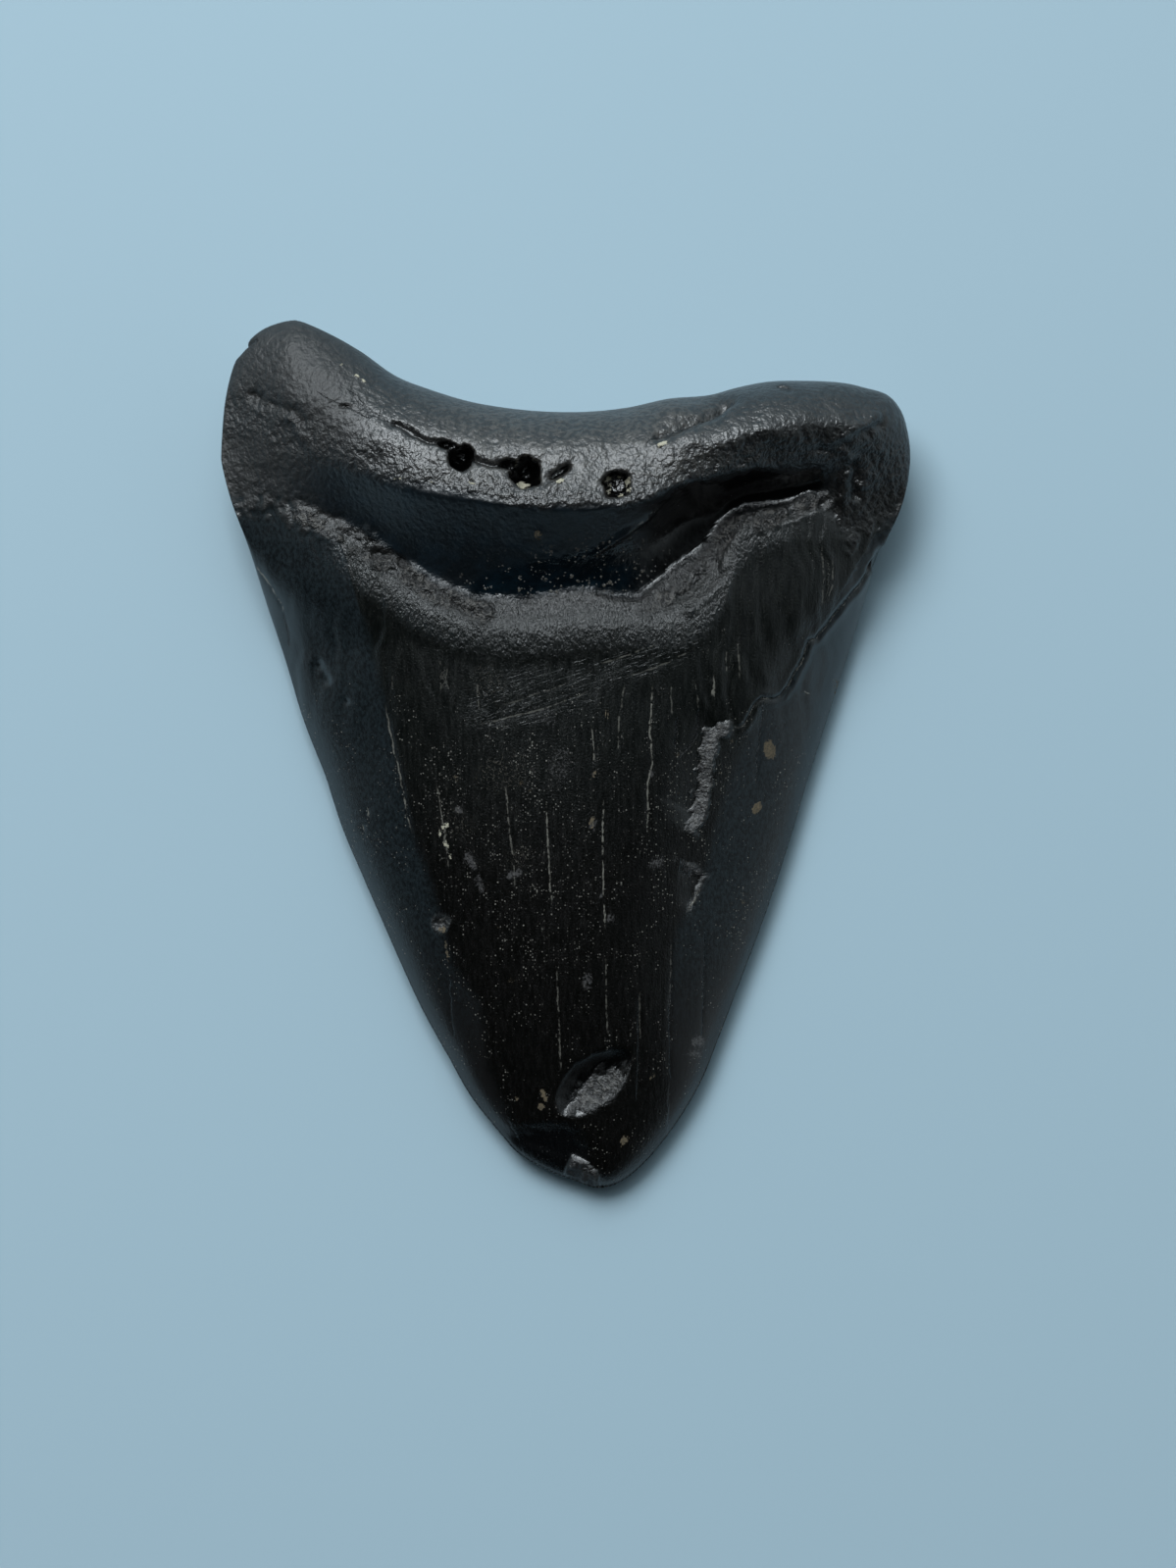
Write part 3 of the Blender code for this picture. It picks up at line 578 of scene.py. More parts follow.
# Painted light on the chip's lit lower right as pale grains, painted shade on its upper left as
# black.
lit_side_radius = oval_radius(upper_places, *CHIP_LIT_SIDE) * (1.0 + 0.12 * bumps(1.2, 197))
chip_lit_grain = 1.35 + 0.5 * bumps(0.7, 198) - lit_side_radius
chip_lit_grain = 0.6 * chip_floor * smooth(chip_lit_grain / 0.8)
chip_shade = chip_floor * (1.0 - smooth(1.5 - lit_side_radius))
pit_grain = 0.5 * smooth((1.15 - pit_radius) / 0.3)
# The chip's lit grains and the flaked steps' faces join the rubble as painted light.
broken = np.maximum.reduce([broken, 0.45 * tip_rubble, chip_lit_grain, pit_grain, 0.6 * scarp_face,
                            0.45 * lower_face])

# ---- Drying cracks and grains of sediment ----
# Hair cracks filled with pale mineral, and crumbs of tan clay left in holes and pits. Each
# crack is stored as the vector from its nearest point, so a thin line can be drawn from it.
CRACKS = [                        # path, strength of the pale filling
    ([(-6.9, -3.2), (-6.7, -6.7), (-6.4, -10.1), (-6, -13), (-5.8, -15.3)], 0.6),
    ([(-2.2, -5.5), (-2, -10.1), (-1.8, -14.7), (-1.6, -17)], 0.9),
    ([(4.4, -4.9), (4.3, -9), (4.3, -14.7), (4.5, -18.2), (4.6, -20)], 1),
    ([(4.6, -23.3), (4.7, -27.4), (4.9, -32.5)], 0.5),
    ([(10, 8.3), (9.7, 3.7), (10, -0.9), (9.5, -3.2), (9.5, -9)], 0.9),
    ([(6.8, 8.3), (6.2, 4.8), (6, 0.2)], 0.5),
    ([(3, 3.7), (3.3, 0.8), (3.1, -0.9)], 0.8),
    ([(12.2, 8.3), (12.3, 4.8)], 0.5),
    ([(17, 8.3), (16.9, 6.9)], 0.9),
    ([(-1, -24.5), (-0.9, -28.5), (-0.6, -36.6)], 0.5),
    ([(-15, -3.2), (-14.4, -6.7), (-13.5, -13)], 0.6),
    ([(12.3, -21.6), (12.2, -26.2), (12.1, -30.8)], 0.3),
    ([(8.6, -27.4), (8.7, -33.1)], 0.3),
    ([(29.7, 24.4), (29.9, 21), (29.7, 17.5)], 0.35),
    ([(-14.5, 11.2), (-14.3, 9.3), (-14.4, 7.6)], 0.3),
    ([(-13.6, 10.2), (-13.8, 9), (-13.5, 7.6)], 0.3),
    ([(-10.3, 9), (-10.2, 6.9), (-10, 4.8)], 0.35),
    ([(-20.1, 9.4), (-20.2, 7.6)], 0.2),
    ([(15, 8.5), (15.35, 5.6)], 0.45),
    ([(17, 9.8), (17.2, 6.7)], 0.7),
    ([(18.6, 12.2), (18.6, 9.8)], 0.5),
    ([(19.9, 13.2), (20.1, 8.9)], 0.4),
    ([(31, 22.9), (30.9, 19.8), (30.4, 18)], 0.4),
    ([(-10.2, 3.6), (-4.8, 4.9), (-1.7, 5.7), (2.6, 7.4)], 0.45),
    ([(-8, 5.6), (-3.6, 7.1), (0.4, 8.4)], 0.3),
    ([(3.4, 10.5), (6.8, 11.5), (10.6, 12.9)], 0.45),
    ([(7, 9.1), (11.7, 10.7), (15, 12.5)], 0.4),
    ([(7, 25.6), (8.6, 26.7), (9.8, 27.7), (10.7, 28.3)], 1),
    ([(-23.2, -6), (-23.2, -7)], 0.9), ([(-23.9, -7.9), (-23.6, -8.8)], 0.9),
    ([(-20.5, -4.6), (-21.1, -5.3)], 0.7), ([(27.9, 7.6), (28.5, 7.4)], 0.9),
    (LEFT_FACET_LINE[2:9], 0.8),
    ([(-36.2, 22.4), (-35.5, 21.2), (-34.4, 19.8), (-33.6, 18.4), (-33, 16.9)], 0.8),
    (RIGHT_CRACK, 0.9),
    (LOWER_SCARP[3:], 0.9),
]
# Open cracks, slots and notches, drawn black below as painted shade in them.
DARK_CRACKS = [                   # path, half width
    (HOLE_CRACK[:6], 0.34), (HOLE_CRACK[4:], 0.18), (HOLE_SEAM, 0.3), (LOBE_NOTCH, 0.3),
    (EDGE_WEDGE, 0.4), (RIGHT_SLOT, 0.25), (RIGHT_CRACK, 0.05), (FURROW[:6], 0.15),
    ([(-28.6, 41.8), (-27, 40.9), (-25.4, 40.2), (-23.9, 39.4), (-22.4, 38.7)], 0.06),
    ([(15.4, 5.6), (15.3, 2.6), (14.6, 1.2), (13.2, -0.2)], 0.1),
    ([(8.5, -27.6), (8.4, -34), (8.3, -40.3)], 0.05),
    ([(-33, 16.9), (-32.7, 14.6), (-32.5, 12.9)], 0.12),
    ([(22.9, 6.4), (22.5, 2.5), (22, -3.2)], 0.07),
    ([(12.9, 4.6), (12.8, 2.6), (12.6, 1)], 0.12),
    ([(12.3, -26.2), (12.1, -30.8), (12.2, -38)], 0.06),
    ([(16.2, -20), (16.1, -28), (15.9, -33)], 0.05),
    ([(-13.6, -26), (-13.2, -33)], 0.05),
]
CRACK_DEPTH, DARK_CRACK_DEPTH, CRACK_WIDTH = 0.08, 0.5, 0.3
NO_CRACK = 9.0                    # millimetres to the nearest crack, where there is none
STAINS = [                        # middle, half sizes, turn in degrees, strength
    ((23.7, 0.8), (0.65, 1.05), 12, 1), ((22.3, -6), (0.45, 0.7), -25, 1),
    ((3.3, -2.2), (0.5, 0.2), 10, 0.8), ((3, -7.6), (0.3, 0.4), 0, 1),
    ((4.8, 4.8), (0.3, 0.2), 0, 0.8), ((6.8, -45), (0.5, 0.45), 40, 0.8),
    ((10.1, -37.4), (0.35, 0.2), 10, 0.7), ((-2.6, -39.6), (0.3, 0.7), 20, 1),
    ((-2.9, -40.9), (0.35, 0.3), 0, 1), ((-5.8, -40), (0.2, 0.2), 0, 0.7),
    ((-6, -26.2), (0.7, 0.25), 0, 0.4), ((-12.7, -2.6), (0.5, 0.4), 0, 0.3),
    ((-3.1, 25.2), (0.5, 0.5), 0, 0.6), ((31.9, 8.2), (0.5, 1.3), 15, 0.4),
    ((-14.4, -20.2), (0.5, 0.35), 30, 0.8), ((-13.9, -22.6), (0.15, 1.2), 8, 0.6),
]
CRUMBS = [                        # cream crumbs, listed as the stains are
    ((-14, -8.1), (0.5, 0.22), 15, 0.9), ((-14.6, -9), (0.2, 0.4), 0, 0.7),
    ((-13.9, -10.2), (0.25, 0.5), 30, 0.8), ((-13.4, -11.6), (0.18, 0.5), 10, 0.7),
    ((-5, 30.9), (0.42, 0.5), 10, 1), ((-4.3, 30.9), (0.25, 0.25), 0, 0.8),
    ((4.85, 31.5), (0.42, 0.28), 60, 0.9), ((5.15, 30.7), (0.26, 0.42), 25, 0.75),
    ((4.9, 30), (0.3, 0.2), -30, 0.7), ((6.1, 31.8), (0.42, 0.18), 15, 0.65),
    ((7.1, 31.2), (0.26, 0.5), -20, 0.85), ((7.25, 30.2), (0.22, 0.3), 25, 0.7),
    ((6.3, 29.7), (0.34, 0.17), -10, 0.65),
    ((-0.6, 31.2), (0.45, 0.25), 25, 1), ((11, 35.5), (0.65, 0.27), 25, 1),
    ((-23.2, 43.2), (0.36, 0.17), -15, 1), ((-24, 43.8), (0.25, 0.18), -50, 1),
    ((-25.8, 45.1), (0.1, 0.3), 40, 0.8), ((-10.6, 31), (0.5, 0.1), -20, 0.7),
    ((-19, 31.7), (0.6, 0.12), -10, 0.6), ((-15.4, 31.2), (0.4, 0.1), 5, 0.6),
]
BRUISES = [                       # grey bruises of knocked enamel, listed as the stains are
    ((-2.2, 4.6), (1.4, 0.9), -30, 0.4), ((-0.5, -0.9), (1.5, 1.9), 0, 0.4),
    ((-6, -13.7), (0.9, 0.35), 15, 1),
    ((15.5, -33.4), (0.8, 0.6), 0, 0.9), ((15.1, -34.9), (0.9, 0.5), 0, 0.7),
    ((-5.8, -13.6), (0.8, 0.45), 20, 0.8), ((-10.2, -14.4), (0.4, 0.7), 0, 0.6),
    ((-11.3, -12), (0.7, 0.5), 40, 0.5), ((2.5, -26.2), (0.6, 1), 0, 0.7),
    ((-12.4, -6.2), (0.5, 0.4), 0, 0.9), ((14.6, -13.3), (1.1, 0.45), 0, 0.8),
    ((10.6, -12.3), (1, 0.45), 15, 0.9), ((-11, -12.1), (0.5, 1.2), 25, 0.8),
    ((-9.8, -15), (0.35, 0.9), 10, 0.7), ((3.2, -8), (0.4, 0.4), 0, 1),
    ((9.9, -2.1), (0.3, 0.35), 0, 1), ((4.1, -16), (0.3, 0.25), 0, 1),
    ((5.2, -18.8), (0.45, 0.5), 40, 0.9), ((12.6, -12), (0.5, 0.3), 0, 0.6),
]
# Zones of fine scratches and of crazed enamel, listed as the stains are.
SCRATCHED = [((-3, 7.2), (8, 2.6), 17, 1), ((8.5, 10.8), (7, 1.6), 17, 0.7)]
NETTED = [((-7, -1.8), (3.2, 1.9), 20, 1), ((-5.3, -11.6), (1.6, 1.1), 0, 1),
          ((-8.8, 8.3), (2.2, 1.8), -60, 0.8), ((-12.9, -8), (2, 1.6), 0, 0.7)]


def nearest_crack(paths):
    """Vector from the nearest of several paths, its length, and that path's strength there."""
    best = np.full((len(x), 2), NO_CRACK)
    strength = np.zeros_like(x)
    for path, pale in paths:
        away, along, _ = path_gap(upper_places, path, 1.5)
        closer = (away ** 2).sum(1) < (best ** 2).sum(1)
        fade = smooth(along / 0.12 + 0.1) * smooth((1.0 - along) / 0.12 + 0.1)
        best[closer] = away[closer]
        strength[closer] = (pale * fade)[closer]
    return best, np.hypot(*best.T), strength


def spots_mask(spots):
    """Largest of several ovals, each 1 inside and easing to 0 past its edge."""
    mask = np.zeros_like(x)
    for middle, half_sizes, turn, strength in spots:
        radius = oval_radius(plain_places, middle, half_sizes, turn)
        mask = np.maximum(mask, strength * smooth((1.35 - radius) / 0.6))
    return mask


small_wander = np.column_stack([bumps(0.9, 201), bumps(0.9, 203)]) * 0.1
upper_places = plain_places + small_wander
crack_away, crack_gap, crack_strength = nearest_crack(CRACKS)
dark_away, dark_gap, dark_width = nearest_crack(DARK_CRACKS)
relief -= CRACK_DEPTH * np.exp(-(crack_gap / CRACK_WIDTH) ** 2) * crack_strength
relief -= DARK_CRACK_DEPTH * np.exp(-(dark_gap / CRACK_WIDTH) ** 2) * dark_width
stains, crumbs, bruises_and_lit_scarp, scratched, netted = (
    spots_mask(spots) for spots in (STAINS, CRUMBS, BRUISES, SCRATCHED, NETTED))
# Painted light: the flaked step's face, which faces the light, is painted paler with the bruises.
bruises_and_lit_scarp = np.maximum(bruises_and_lit_scarp, 0.6 * scarp_face)
relief += 0.12 * crumbs * (1.0 + bumps(0.35, 211)) * (1.0 - enamel)
upper_places = plain_places

# ---- Underside ----
# The labial face, which the tooth rests on: flat enamel with fine lengthwise wrinkles, and the
# root set back a little behind the enamel's gently arched border.
LOWER_RINGS = RINGS // 2
LOWER_REACH = 0.992               # its outer ring, as a share of the outline
LABIAL_ROUNDING = (12.0, 8.5)     # reach of the rounding at the crown and the root
LABIAL_STEP = 0.4                 # how far the root is set back
LABIAL_BORDER = [(-40, 27), (-20, 22.5), (0, 20), (20, 22), (40, 25)]
LABIAL_PITS = [((-9, 32), 0.9, 1.2), ((4.5, 33.5), 0.7, 1), ((16, 34.5), 0.8, 1),
               ((-22, 37), 0.6, 0.8), ((-29, 41), 0.7, 0.9), ((27, 36), 0.6, 0.8)]

lower_places = ring_places(LOWER_RINGS, LOWER_REACH)
under_x, under_y = lower_places.T
under_gap = np.hypot(*path_gap(lower_places, outline_loop)[0].T)
under_root = smooth((under_y - ROOT_BEGINS) / (ROOT_FULL - ROOT_BEGINS))
under_blade = 1.0 - round_in(under_gap, LABIAL_ROUNDING[0], 1.35)
under_lobe = 1.0 - round_in(under_gap, LABIAL_ROUNDING[1], 2.0)
past_border = under_y - read_off(under_x, LABIAL_BORDER)
past_border = past_border + 0.4 * random_field(under_x, under_y, 1.6, 301)
lower_height = rim_height(under_y) * (under_blade + (under_lobe - under_blade) * under_root)
lower_height += LABIAL_STEP * smooth(past_border / 1.5)
under_enamel = 1.0 - smooth(past_border / 0.8)
lower_height += (1.0 - under_enamel) * 0.08 * (1.0 + random_field(under_x, under_y * 0.7, 1.1, 311))
lower_height += under_enamel * 0.02 * (1.0 + random_field(under_x, under_y * 0.12, 1.1, 321))
for middle, size, depth in LABIAL_PITS:
    radius = oval_radius(lower_places, middle, (size, size * 0.7), 20.0)
    lower_height += depth * np.clip(1.0 - radius ** 3, 0.0, 1.0)

# ---- One closed surface ----
# Tooth, root and crown are a single piece. The two faces meet along the widest line, where two
# edges of the fine upper rim sit on each edge of the coarser lower one.
SIDE = 2 * RINGS + 1
LOWER_SIDE = 2 * LOWER_RINGS + 1


def grid_quads(side, first, flipped):
    """Corner numbers of a square grid's quads, counter-clockwise, or flipped to face down."""
    corner = first + np.arange(side * side).reshape(side, side)
    quads = np.stack([corner[:-1, :-1], corner[:-1, 1:], corner[1:, 1:], corner[1:, :-1]], axis=-1)
    return quads.reshape(-1, 4)[:, ::-1] if flipped else quads.reshape(-1, 4)


def grid_rim(side, first):
    """Corner numbers round a square grid's edge, counter-clockwise from its first corner."""
    corner = first + np.arange(side * side).reshape(side, side)
    return np.concatenate([corner[0, :-1], corner[:-1, -1], corner[-1, :0:-1], corner[:0:-1, 0]])


base = np.column_stack([plain_places, upper_height]).reshape(SIDE, SIDE, 3)
facing = np.cross(np.gradient(base, axis=1), np.gradient(base, axis=0)).reshape(-1, 3)
facing = facing / np.maximum(np.linalg.norm(facing, axis=1, keepdims=True), 1e-12)
inward = smooth(rim_gap / 0.8)
upper_points = base.reshape(-1, 3) + facing * (relief * inward + rim_cut * (1.0 - inward))[:, None]
upper_points[:, 2] += sink
points = np.vstack([upper_points, np.column_stack([lower_places, lower_height])])
points[:, :2] -= outline_centre
points = points * MM
points = np.clip(points, np.array(solid_box[0]), np.array(solid_box[1]))

lower_first = SIDE * SIDE
fine_rim = grid_rim(SIDE, 0)
coarse_rim = grid_rim(LOWER_SIDE, lower_first)
next_coarse = np.roll(coarse_rim, -1)
even, odd, next_even = fine_rim[0::2], fine_rim[1::2], np.roll(fine_rim[0::2], -1)
strip = np.vstack([np.column_stack([coarse_rim, next_coarse, odd]),
                   np.column_stack([coarse_rim, odd, even]),
                   np.column_stack([next_coarse, next_even, odd])])
quads = np.vstack([grid_quads(SIDE, 0, False), grid_quads(LOWER_SIDE, lower_first, True)])
corners = np.concatenate([quads.ravel(), strip.ravel()])
sizes = np.concatenate([np.full(len(quads), 4), np.full(len(strip), 3)])

mesh = bpy.data.meshes.new("fossil_tooth")
mesh.vertices.add(len(points))
mesh.vertices.foreach_set("co", points.astype(np.float32).ravel())
mesh.loops.add(len(corners))
mesh.loops.foreach_set("vertex_index", corners.astype(np.int32))
mesh.polygons.add(len(sizes))
starts = np.concatenate([[0], np.cumsum(sizes)[:-1]])
mesh.polygons.foreach_set("loop_start", starts.astype(np.int32))
mesh.update(calc_edges=True)
mesh.validate()
mesh.shade_smooth()

surface_masks = {                 # the lower face has none of these but the few named below
    "enamel": enamel, "hollow": hollow * (1.0 - enamel), "broken": broken, "blade": blade,
    "crumbs": crumbs, "stains": stains, "lip": lip, "bruises_and_lit_scarp": bruises_and_lit_scarp, "grit": floor_grit,
    # painted shade at the hollow's deep right end; the same zone sets its polish and fine relief
    "shaded_hollow_end": hollow * smooth((x - 4.0) / 8.0), "netted": netted, "scratched": scratched,
    "near_edge": smooth((4.0 - rim_gap) / 4.0), "near_crest": near_crest, "painted_sheen_band": painted_sheen_band,
    "worn_zone": smooth((10.0 - y) / 8.0), "tip_broken": tip_broken,
    # painted shade: black in the holes and in the chip's upper left
    "depth": np.maximum(np.clip(-sink / 2.0, 0.0, 1.0) * (1.0 - enamel), chip_shade),
    "crack_gap": crack_gap, "crack_strength": crack_strength, "dark_gap": dark_gap,
    "dark_width": dark_width,
}
lower_masks = {"enamel": under_enamel, "crack_gap": NO_CRACK, "dark_gap": NO_CRACK}
for name, upper in surface_masks.items():
    lower = np.zeros(len(lower_places)) + lower_masks.get(name, 0.0)
    layer = mesh.attributes.new(name, "FLOAT", "POINT")
    layer.data.foreach_set("value", np.concatenate([upper, lower]).astype(np.float32))
for name, away in (("crack_away", crack_away), ("dark_away", dark_away)):
    layer = mesh.attributes.new(name, "FLOAT_VECTOR", "POINT")
    vectors = np.zeros((len(points), 3), np.float32)
    vectors[:len(away), :2] = away
    layer.data.foreach_set("vector", vectors.ravel())

fossil_tooth = bpy.data.objects.new("fossil_tooth", mesh)
bpy.context.scene.collection.objects.link(fossil_tooth)

# ---- Finish: phosphate fossil ----
# Tooth bone and enamel turned to black phosphate mineral and washed smooth. The bone is pebbly
# and satin, the enamel shines like a river stone, and broken places glint grain by grain.
FOSSIL_IOR = 1.63
COLOURS = {"data_type": "RGBA"}


def linear(hex_colour):
    """sRGB hex to the linear values that shaders take."""
    channels = [int(hex_colour[i:i + 2], 16) / 255.0 for i in (1, 3, 5)]
    return [c / 12.92 if c <= 0.04045 else ((c + 0.055) / 1.055) ** 2.4 for c in channels] + [1.0]


def add(kind, *inputs, output=0, **settings):
    """Add a shader node, set its properties, and fill the inputs it has in use, in their order,
    with values or other nodes' outputs. Gives one of the outputs it has in use. A kind in
    capitals is the operation of a Math node, and a MapRange node eases in and out."""
    if kind.isupper():
        kind, settings = "Math", {"operation": kind}
    if kind == "MapRange":
        settings = {"interpolation_type": "SMOOTHSTEP"}
    node = nodes.new("ShaderNode" + kind)
    for name, value in settings.items():
        setattr(node, name, value)
    for socket, value in zip([entry for entry in node.inputs if entry.enabled], inputs):
        if isinstance(value, bpy.types.NodeSocket):
            links.new(value, socket)
        elif value is not None:
            socket.default_value = value
    if isinstance(output, str):
        return node.outputs[output]
    return [entry for entry in node.outputs if entry.enabled][output]


material = bpy.data.materials.new("black_phosphate_fossil")
material.use_nodes = True
nodes, links = material.node_tree.nodes, material.node_tree.links
surface = nodes["Principled BSDF"]
coordinates = add("TexCoord", output="Object")
across_tooth, along_tooth, _ = add("SeparateXYZ", coordinates).node.outputs
masks = {name: add("Attribute", attribute_name=name, output="Fac") for name in surface_masks}


def noise(size_mm, stretch=(1.0, 1.0, 1.0), detail=2.0, roughness=0.5, turn=0.0):
    """Noise whose blobs are about size_mm wide, stretched by the given factors along axes that
    are turned by so many degrees."""
    place = add("Mapping", coordinates, None, (0.0, 0.0, math.radians(turn)), stretch,
                vector_type="TEXTURE")
    return add("TexNoise", place, 1.0 / (size_mm * MM), detail, roughness)


def grains(size_mm, amount):
    """Round grains, at most one to a cell about size_mm wide. The larger the amount, the more of
    the cells have one and the wider it is."""
    distance, cell_colour = add("TexVoronoi", coordinates, 1.0 / (size_mm * MM)).node.outputs[:2]
    chance = add("ADD", add("SeparateColor", cell_colour), amount)
    radius = add("MapRange", chance, 0.6, 1.1, -0.12, 0.36)
    return add("MapRange", add("SUBTRACT", distance, radius), -0.1, 0.06, 1.0, 0.0)


def drawn_line(kind, half_width):
    """1 within the half width of the nearest crack of this kind, easing to 0 outside."""
    away = add("Attribute", attribute_name=kind + "_away", output="Vector")
    beyond = add("SUBTRACT", add("VectorMath", away, operation="LENGTH"), half_width)
    near = add("MapRange", masks[kind + "_gap"], 0.45, 0.75, 1.0, 0.0)
    return add("MULTIPLY", add("MapRange", beyond, -0.04, 0.04, 1.0, 0.0), near)


def coated(base, *coats, **settings):
    """Base with coats laid over it in turn. A coat is its share and its value or hex colour."""
    for share, coat in coats:
        base = add("Mix", share, base, linear(coat) if isinstance(coat, str) else coat, **settings)
    return base


def piled(base, *layers):
    """Base height plus each layer's pattern times its height."""
    for pattern, layer_height in layers:
        base = add("MULTIPLY_ADD", pattern, layer_height, base)
    return base


# Tones of the mineral. The pores, streaks and specks of a real one are about 0.05 to 0.2 mm
# wide, too fine to show, so they are drawn two to four times as coarse.
pebble_noise = noise(0.6, (1.0, 1.2, 1.0))
streak_noise = noise(0.35, (1.0, 12.0, 1.0), 3.0, 0.6)
mottle_noise = noise(0.35, (1.0, 1.6, 1.0), 3.0, 0.6)
speck_noise = noise(0.2, (1.0, 1.2, 1.0), 3.0, 0.65)
rubble_noise = noise(0.55, detail=3.0, roughness=0.6)
tones = {                         # pattern, its values at the two tones, the tones
    "bone": (pebble_noise, 0.42, 0.58, "#040404", "#161615"),
    # painted sheen: paler bone for the lit band above the crest
    "painted_sheen_bone": (pebble_noise, 0.42, 0.58, "#151413", "#32302d"),
    # painted reflection: blue-grey long facets mirroring the pale surroundings
    "low_enamel": (streak_noise, 0.35, 0.7, "#030302", "#070605"),
    "high_enamel": (streak_noise, 0.35, 0.7, "#060807", "#0d0f0d"),
    "blade_reflection": (mottle_noise, 0.35, 0.65, "#0c1012", "#1b2225"),
    "specks": (noise(1.1), 0.35, 0.65, "#2c2a26", "#7e7b73"),
    # painted reflection: blue-black hollow floor mirroring the pale surroundings
    "hollow": (noise(2.5), 0.4, 0.7, "#030a0f", "#08141b"),
    "rubble": (rubble_noise, 0.48, 0.57, "#030303", "#4f4d4a"),
    "clay": (speck_noise, 0.4, 0.6, "#3d3524", "#5f523c"),
}
for name, (pattern, low, high, dark, light) in tones.items():
    tones[name] = coated(linear(dark), (add("MapRange", pattern, low, high), light), **COLOURS)

# Bone: dark grey pebbles with black gaps, painted paler as painted sheen on the band above the
# crest, which faces the light.
bone_colour_and_sheen = coated(tones["bone"], (masks["painted_sheen_band"], tones["painted_sheen_bone"]), **COLOURS)

# Enamel: green-black to brown-black down the middle with pale worn specks. At the sides it is
# clean, painted blue-black as a painted reflection of the pale surroundings, with a few specks
# towards the cutting edges.
upper_half = add("MapRange", along_tooth, -16.0 * MM, 6.0 * MM)
brown_end = add("MapRange", along_tooth, -36.0 * MM, -14.0 * MM, 0.8, 0.0)
middle_colour = coated(tones["low_enamel"], (upper_half, tones["high_enamel"]), **COLOURS)
# Painted reflection on the long facets, turning to the enamel's own brown towards the tip.
blade_colour_and_reflection = coated(tones["blade_reflection"], (brown_end, "#131110"), **COLOURS)
clusters = noise(3.0, (1.0, 2.0, 1.0), 3.0)
speck_amount = add("MapRange", clusters, 0.3, 0.7, -0.1, 0.3)
for more in (add("Mix", masks["near_edge"], 0.0, 0.1), add("Mix", masks["worn_zone"], -0.3, 0.0),
             add("Mix", masks["blade"], 0.0, -0.1),
             add("MapRange", along_tooth, -34.0 * MM, -14.0 * MM, -0.12, 0.0)):
    speck_amount = add("ADD", speck_amount, more)
speck_share = add("MULTIPLY", grains(0.27, speck_amount),
                  add("MapRange", speck_noise, 0.35, 0.6, 0.1, 0.9))
blot_share = add("MULTIPLY", grains(1.3, add("SUBTRACT", speck_amount, 0.25)),
                 add("MapRange", speck_noise, 0.45, 0.6, 0.0, 0.6))
scratch_noise = noise(0.13, (25.0, 1.0, 1.0), turn=18.0)
scratch_share = add("MULTIPLY", add("MapRange", scratch_noise, 0.6, 0.68), masks["scratched"])
enamel_colour = coated(middle_colour, (masks["blade"], blade_colour_and_reflection),
                       (speck_share, tones["specks"]), (blot_share, "#4a4234"),
                       (add("MULTIPLY", scratch_share, 0.35), "#454643"), **COLOURS)

# Hollow: smooth floor painted blue-black as a painted reflection of the pale surroundings, painted
# black as painted shade at its deep right end, with clumps of pale grains.
grit_noise = noise(0.4, detail=4.0, roughness=0.7)
grit_amount = add("MapRange", noise(1.9, detail=3.0), 0.4, 0.58, -0.3, 0.5)
grit_share = add("MAXIMUM", grains(0.42, grit_amount),
                 grains(0.75, add("SUBTRACT", grit_amount, 0.2)))
for share in (masks["grit"], add("MapRange", grit_noise, 0.4, 0.55)):
    grit_share = add("MULTIPLY", grit_share, share)
hollow_colour_reflection_and_shade = coated(tones["hollow"], (masks["shaded_hollow_end"], "#020202"),
                       (grit_share, "#57534c"), **COLOURS)

# Bruises and nets of pale specks where the enamel's surface has crazed. The flaked step's face,
# which faces the light, shares the bruises' grey as painted light.
NET_CELL = 0.55
bruise_noise = noise(0.3, detail=5.0, roughness=0.75)
bruise_and_lit_scarp_level = add("ADD", masks["bruises_and_lit_scarp"], add("MapRange", bruise_noise, 0.3, 0.7, -0.7, 0.3))
bruise_and_lit_scarp_share = add("MapRange", bruise_and_lit_scarp_level, 0.1, 0.9, 0.0, 0.8)
net_edge = add("TexVoronoi", coordinates, 1.0 / (NET_CELL * MM), feature="DISTANCE_TO_EDGE")
net_share = add("MapRange", net_edge, 0.03, 0.12, 1.0, 0.0)
for share in (add("MapRange", speck_noise, 0.5, 0.64), masks["netted"]):
    net_share = add("MULTIPLY", net_share, share)

# Cracks: a pale line where the mineral filling shows, and a black line of painted shade where it
# fell out and the crack, slot or notch stands open.
ragged_noise = noise(0.35, detail=3.0, roughness=0.7)
pale_line = drawn_line("crack", add("MapRange", noise(0.5), 0.3, 0.7, 0.03, 0.12))
for share in (add("MapRange", noise(0.7, detail=3.0), 0.38, 0.54), masks["crack_strength"]):
    pale_line = add("MULTIPLY", pale_line, share)
dark_line = drawn_line("dark", add("MULTIPLY", masks["dark_width"],
                                   add("MapRange", ragged_noise, 0.35, 0.65, 0.3, 1.5)))

# Sediment: tan clay stains and cream crumbs with ragged edges.
ragged_edge = add("MapRange", ragged_noise, 0.3, 0.7, -0.35, 0.35)
stain_share = add("MapRange", add("ADD", masks["stains"], ragged_edge), 0.35, 0.65)
crumb_share = add("MapRange", add("ADD", masks["crumbs"], ragged_edge), 0.45, 0.6)
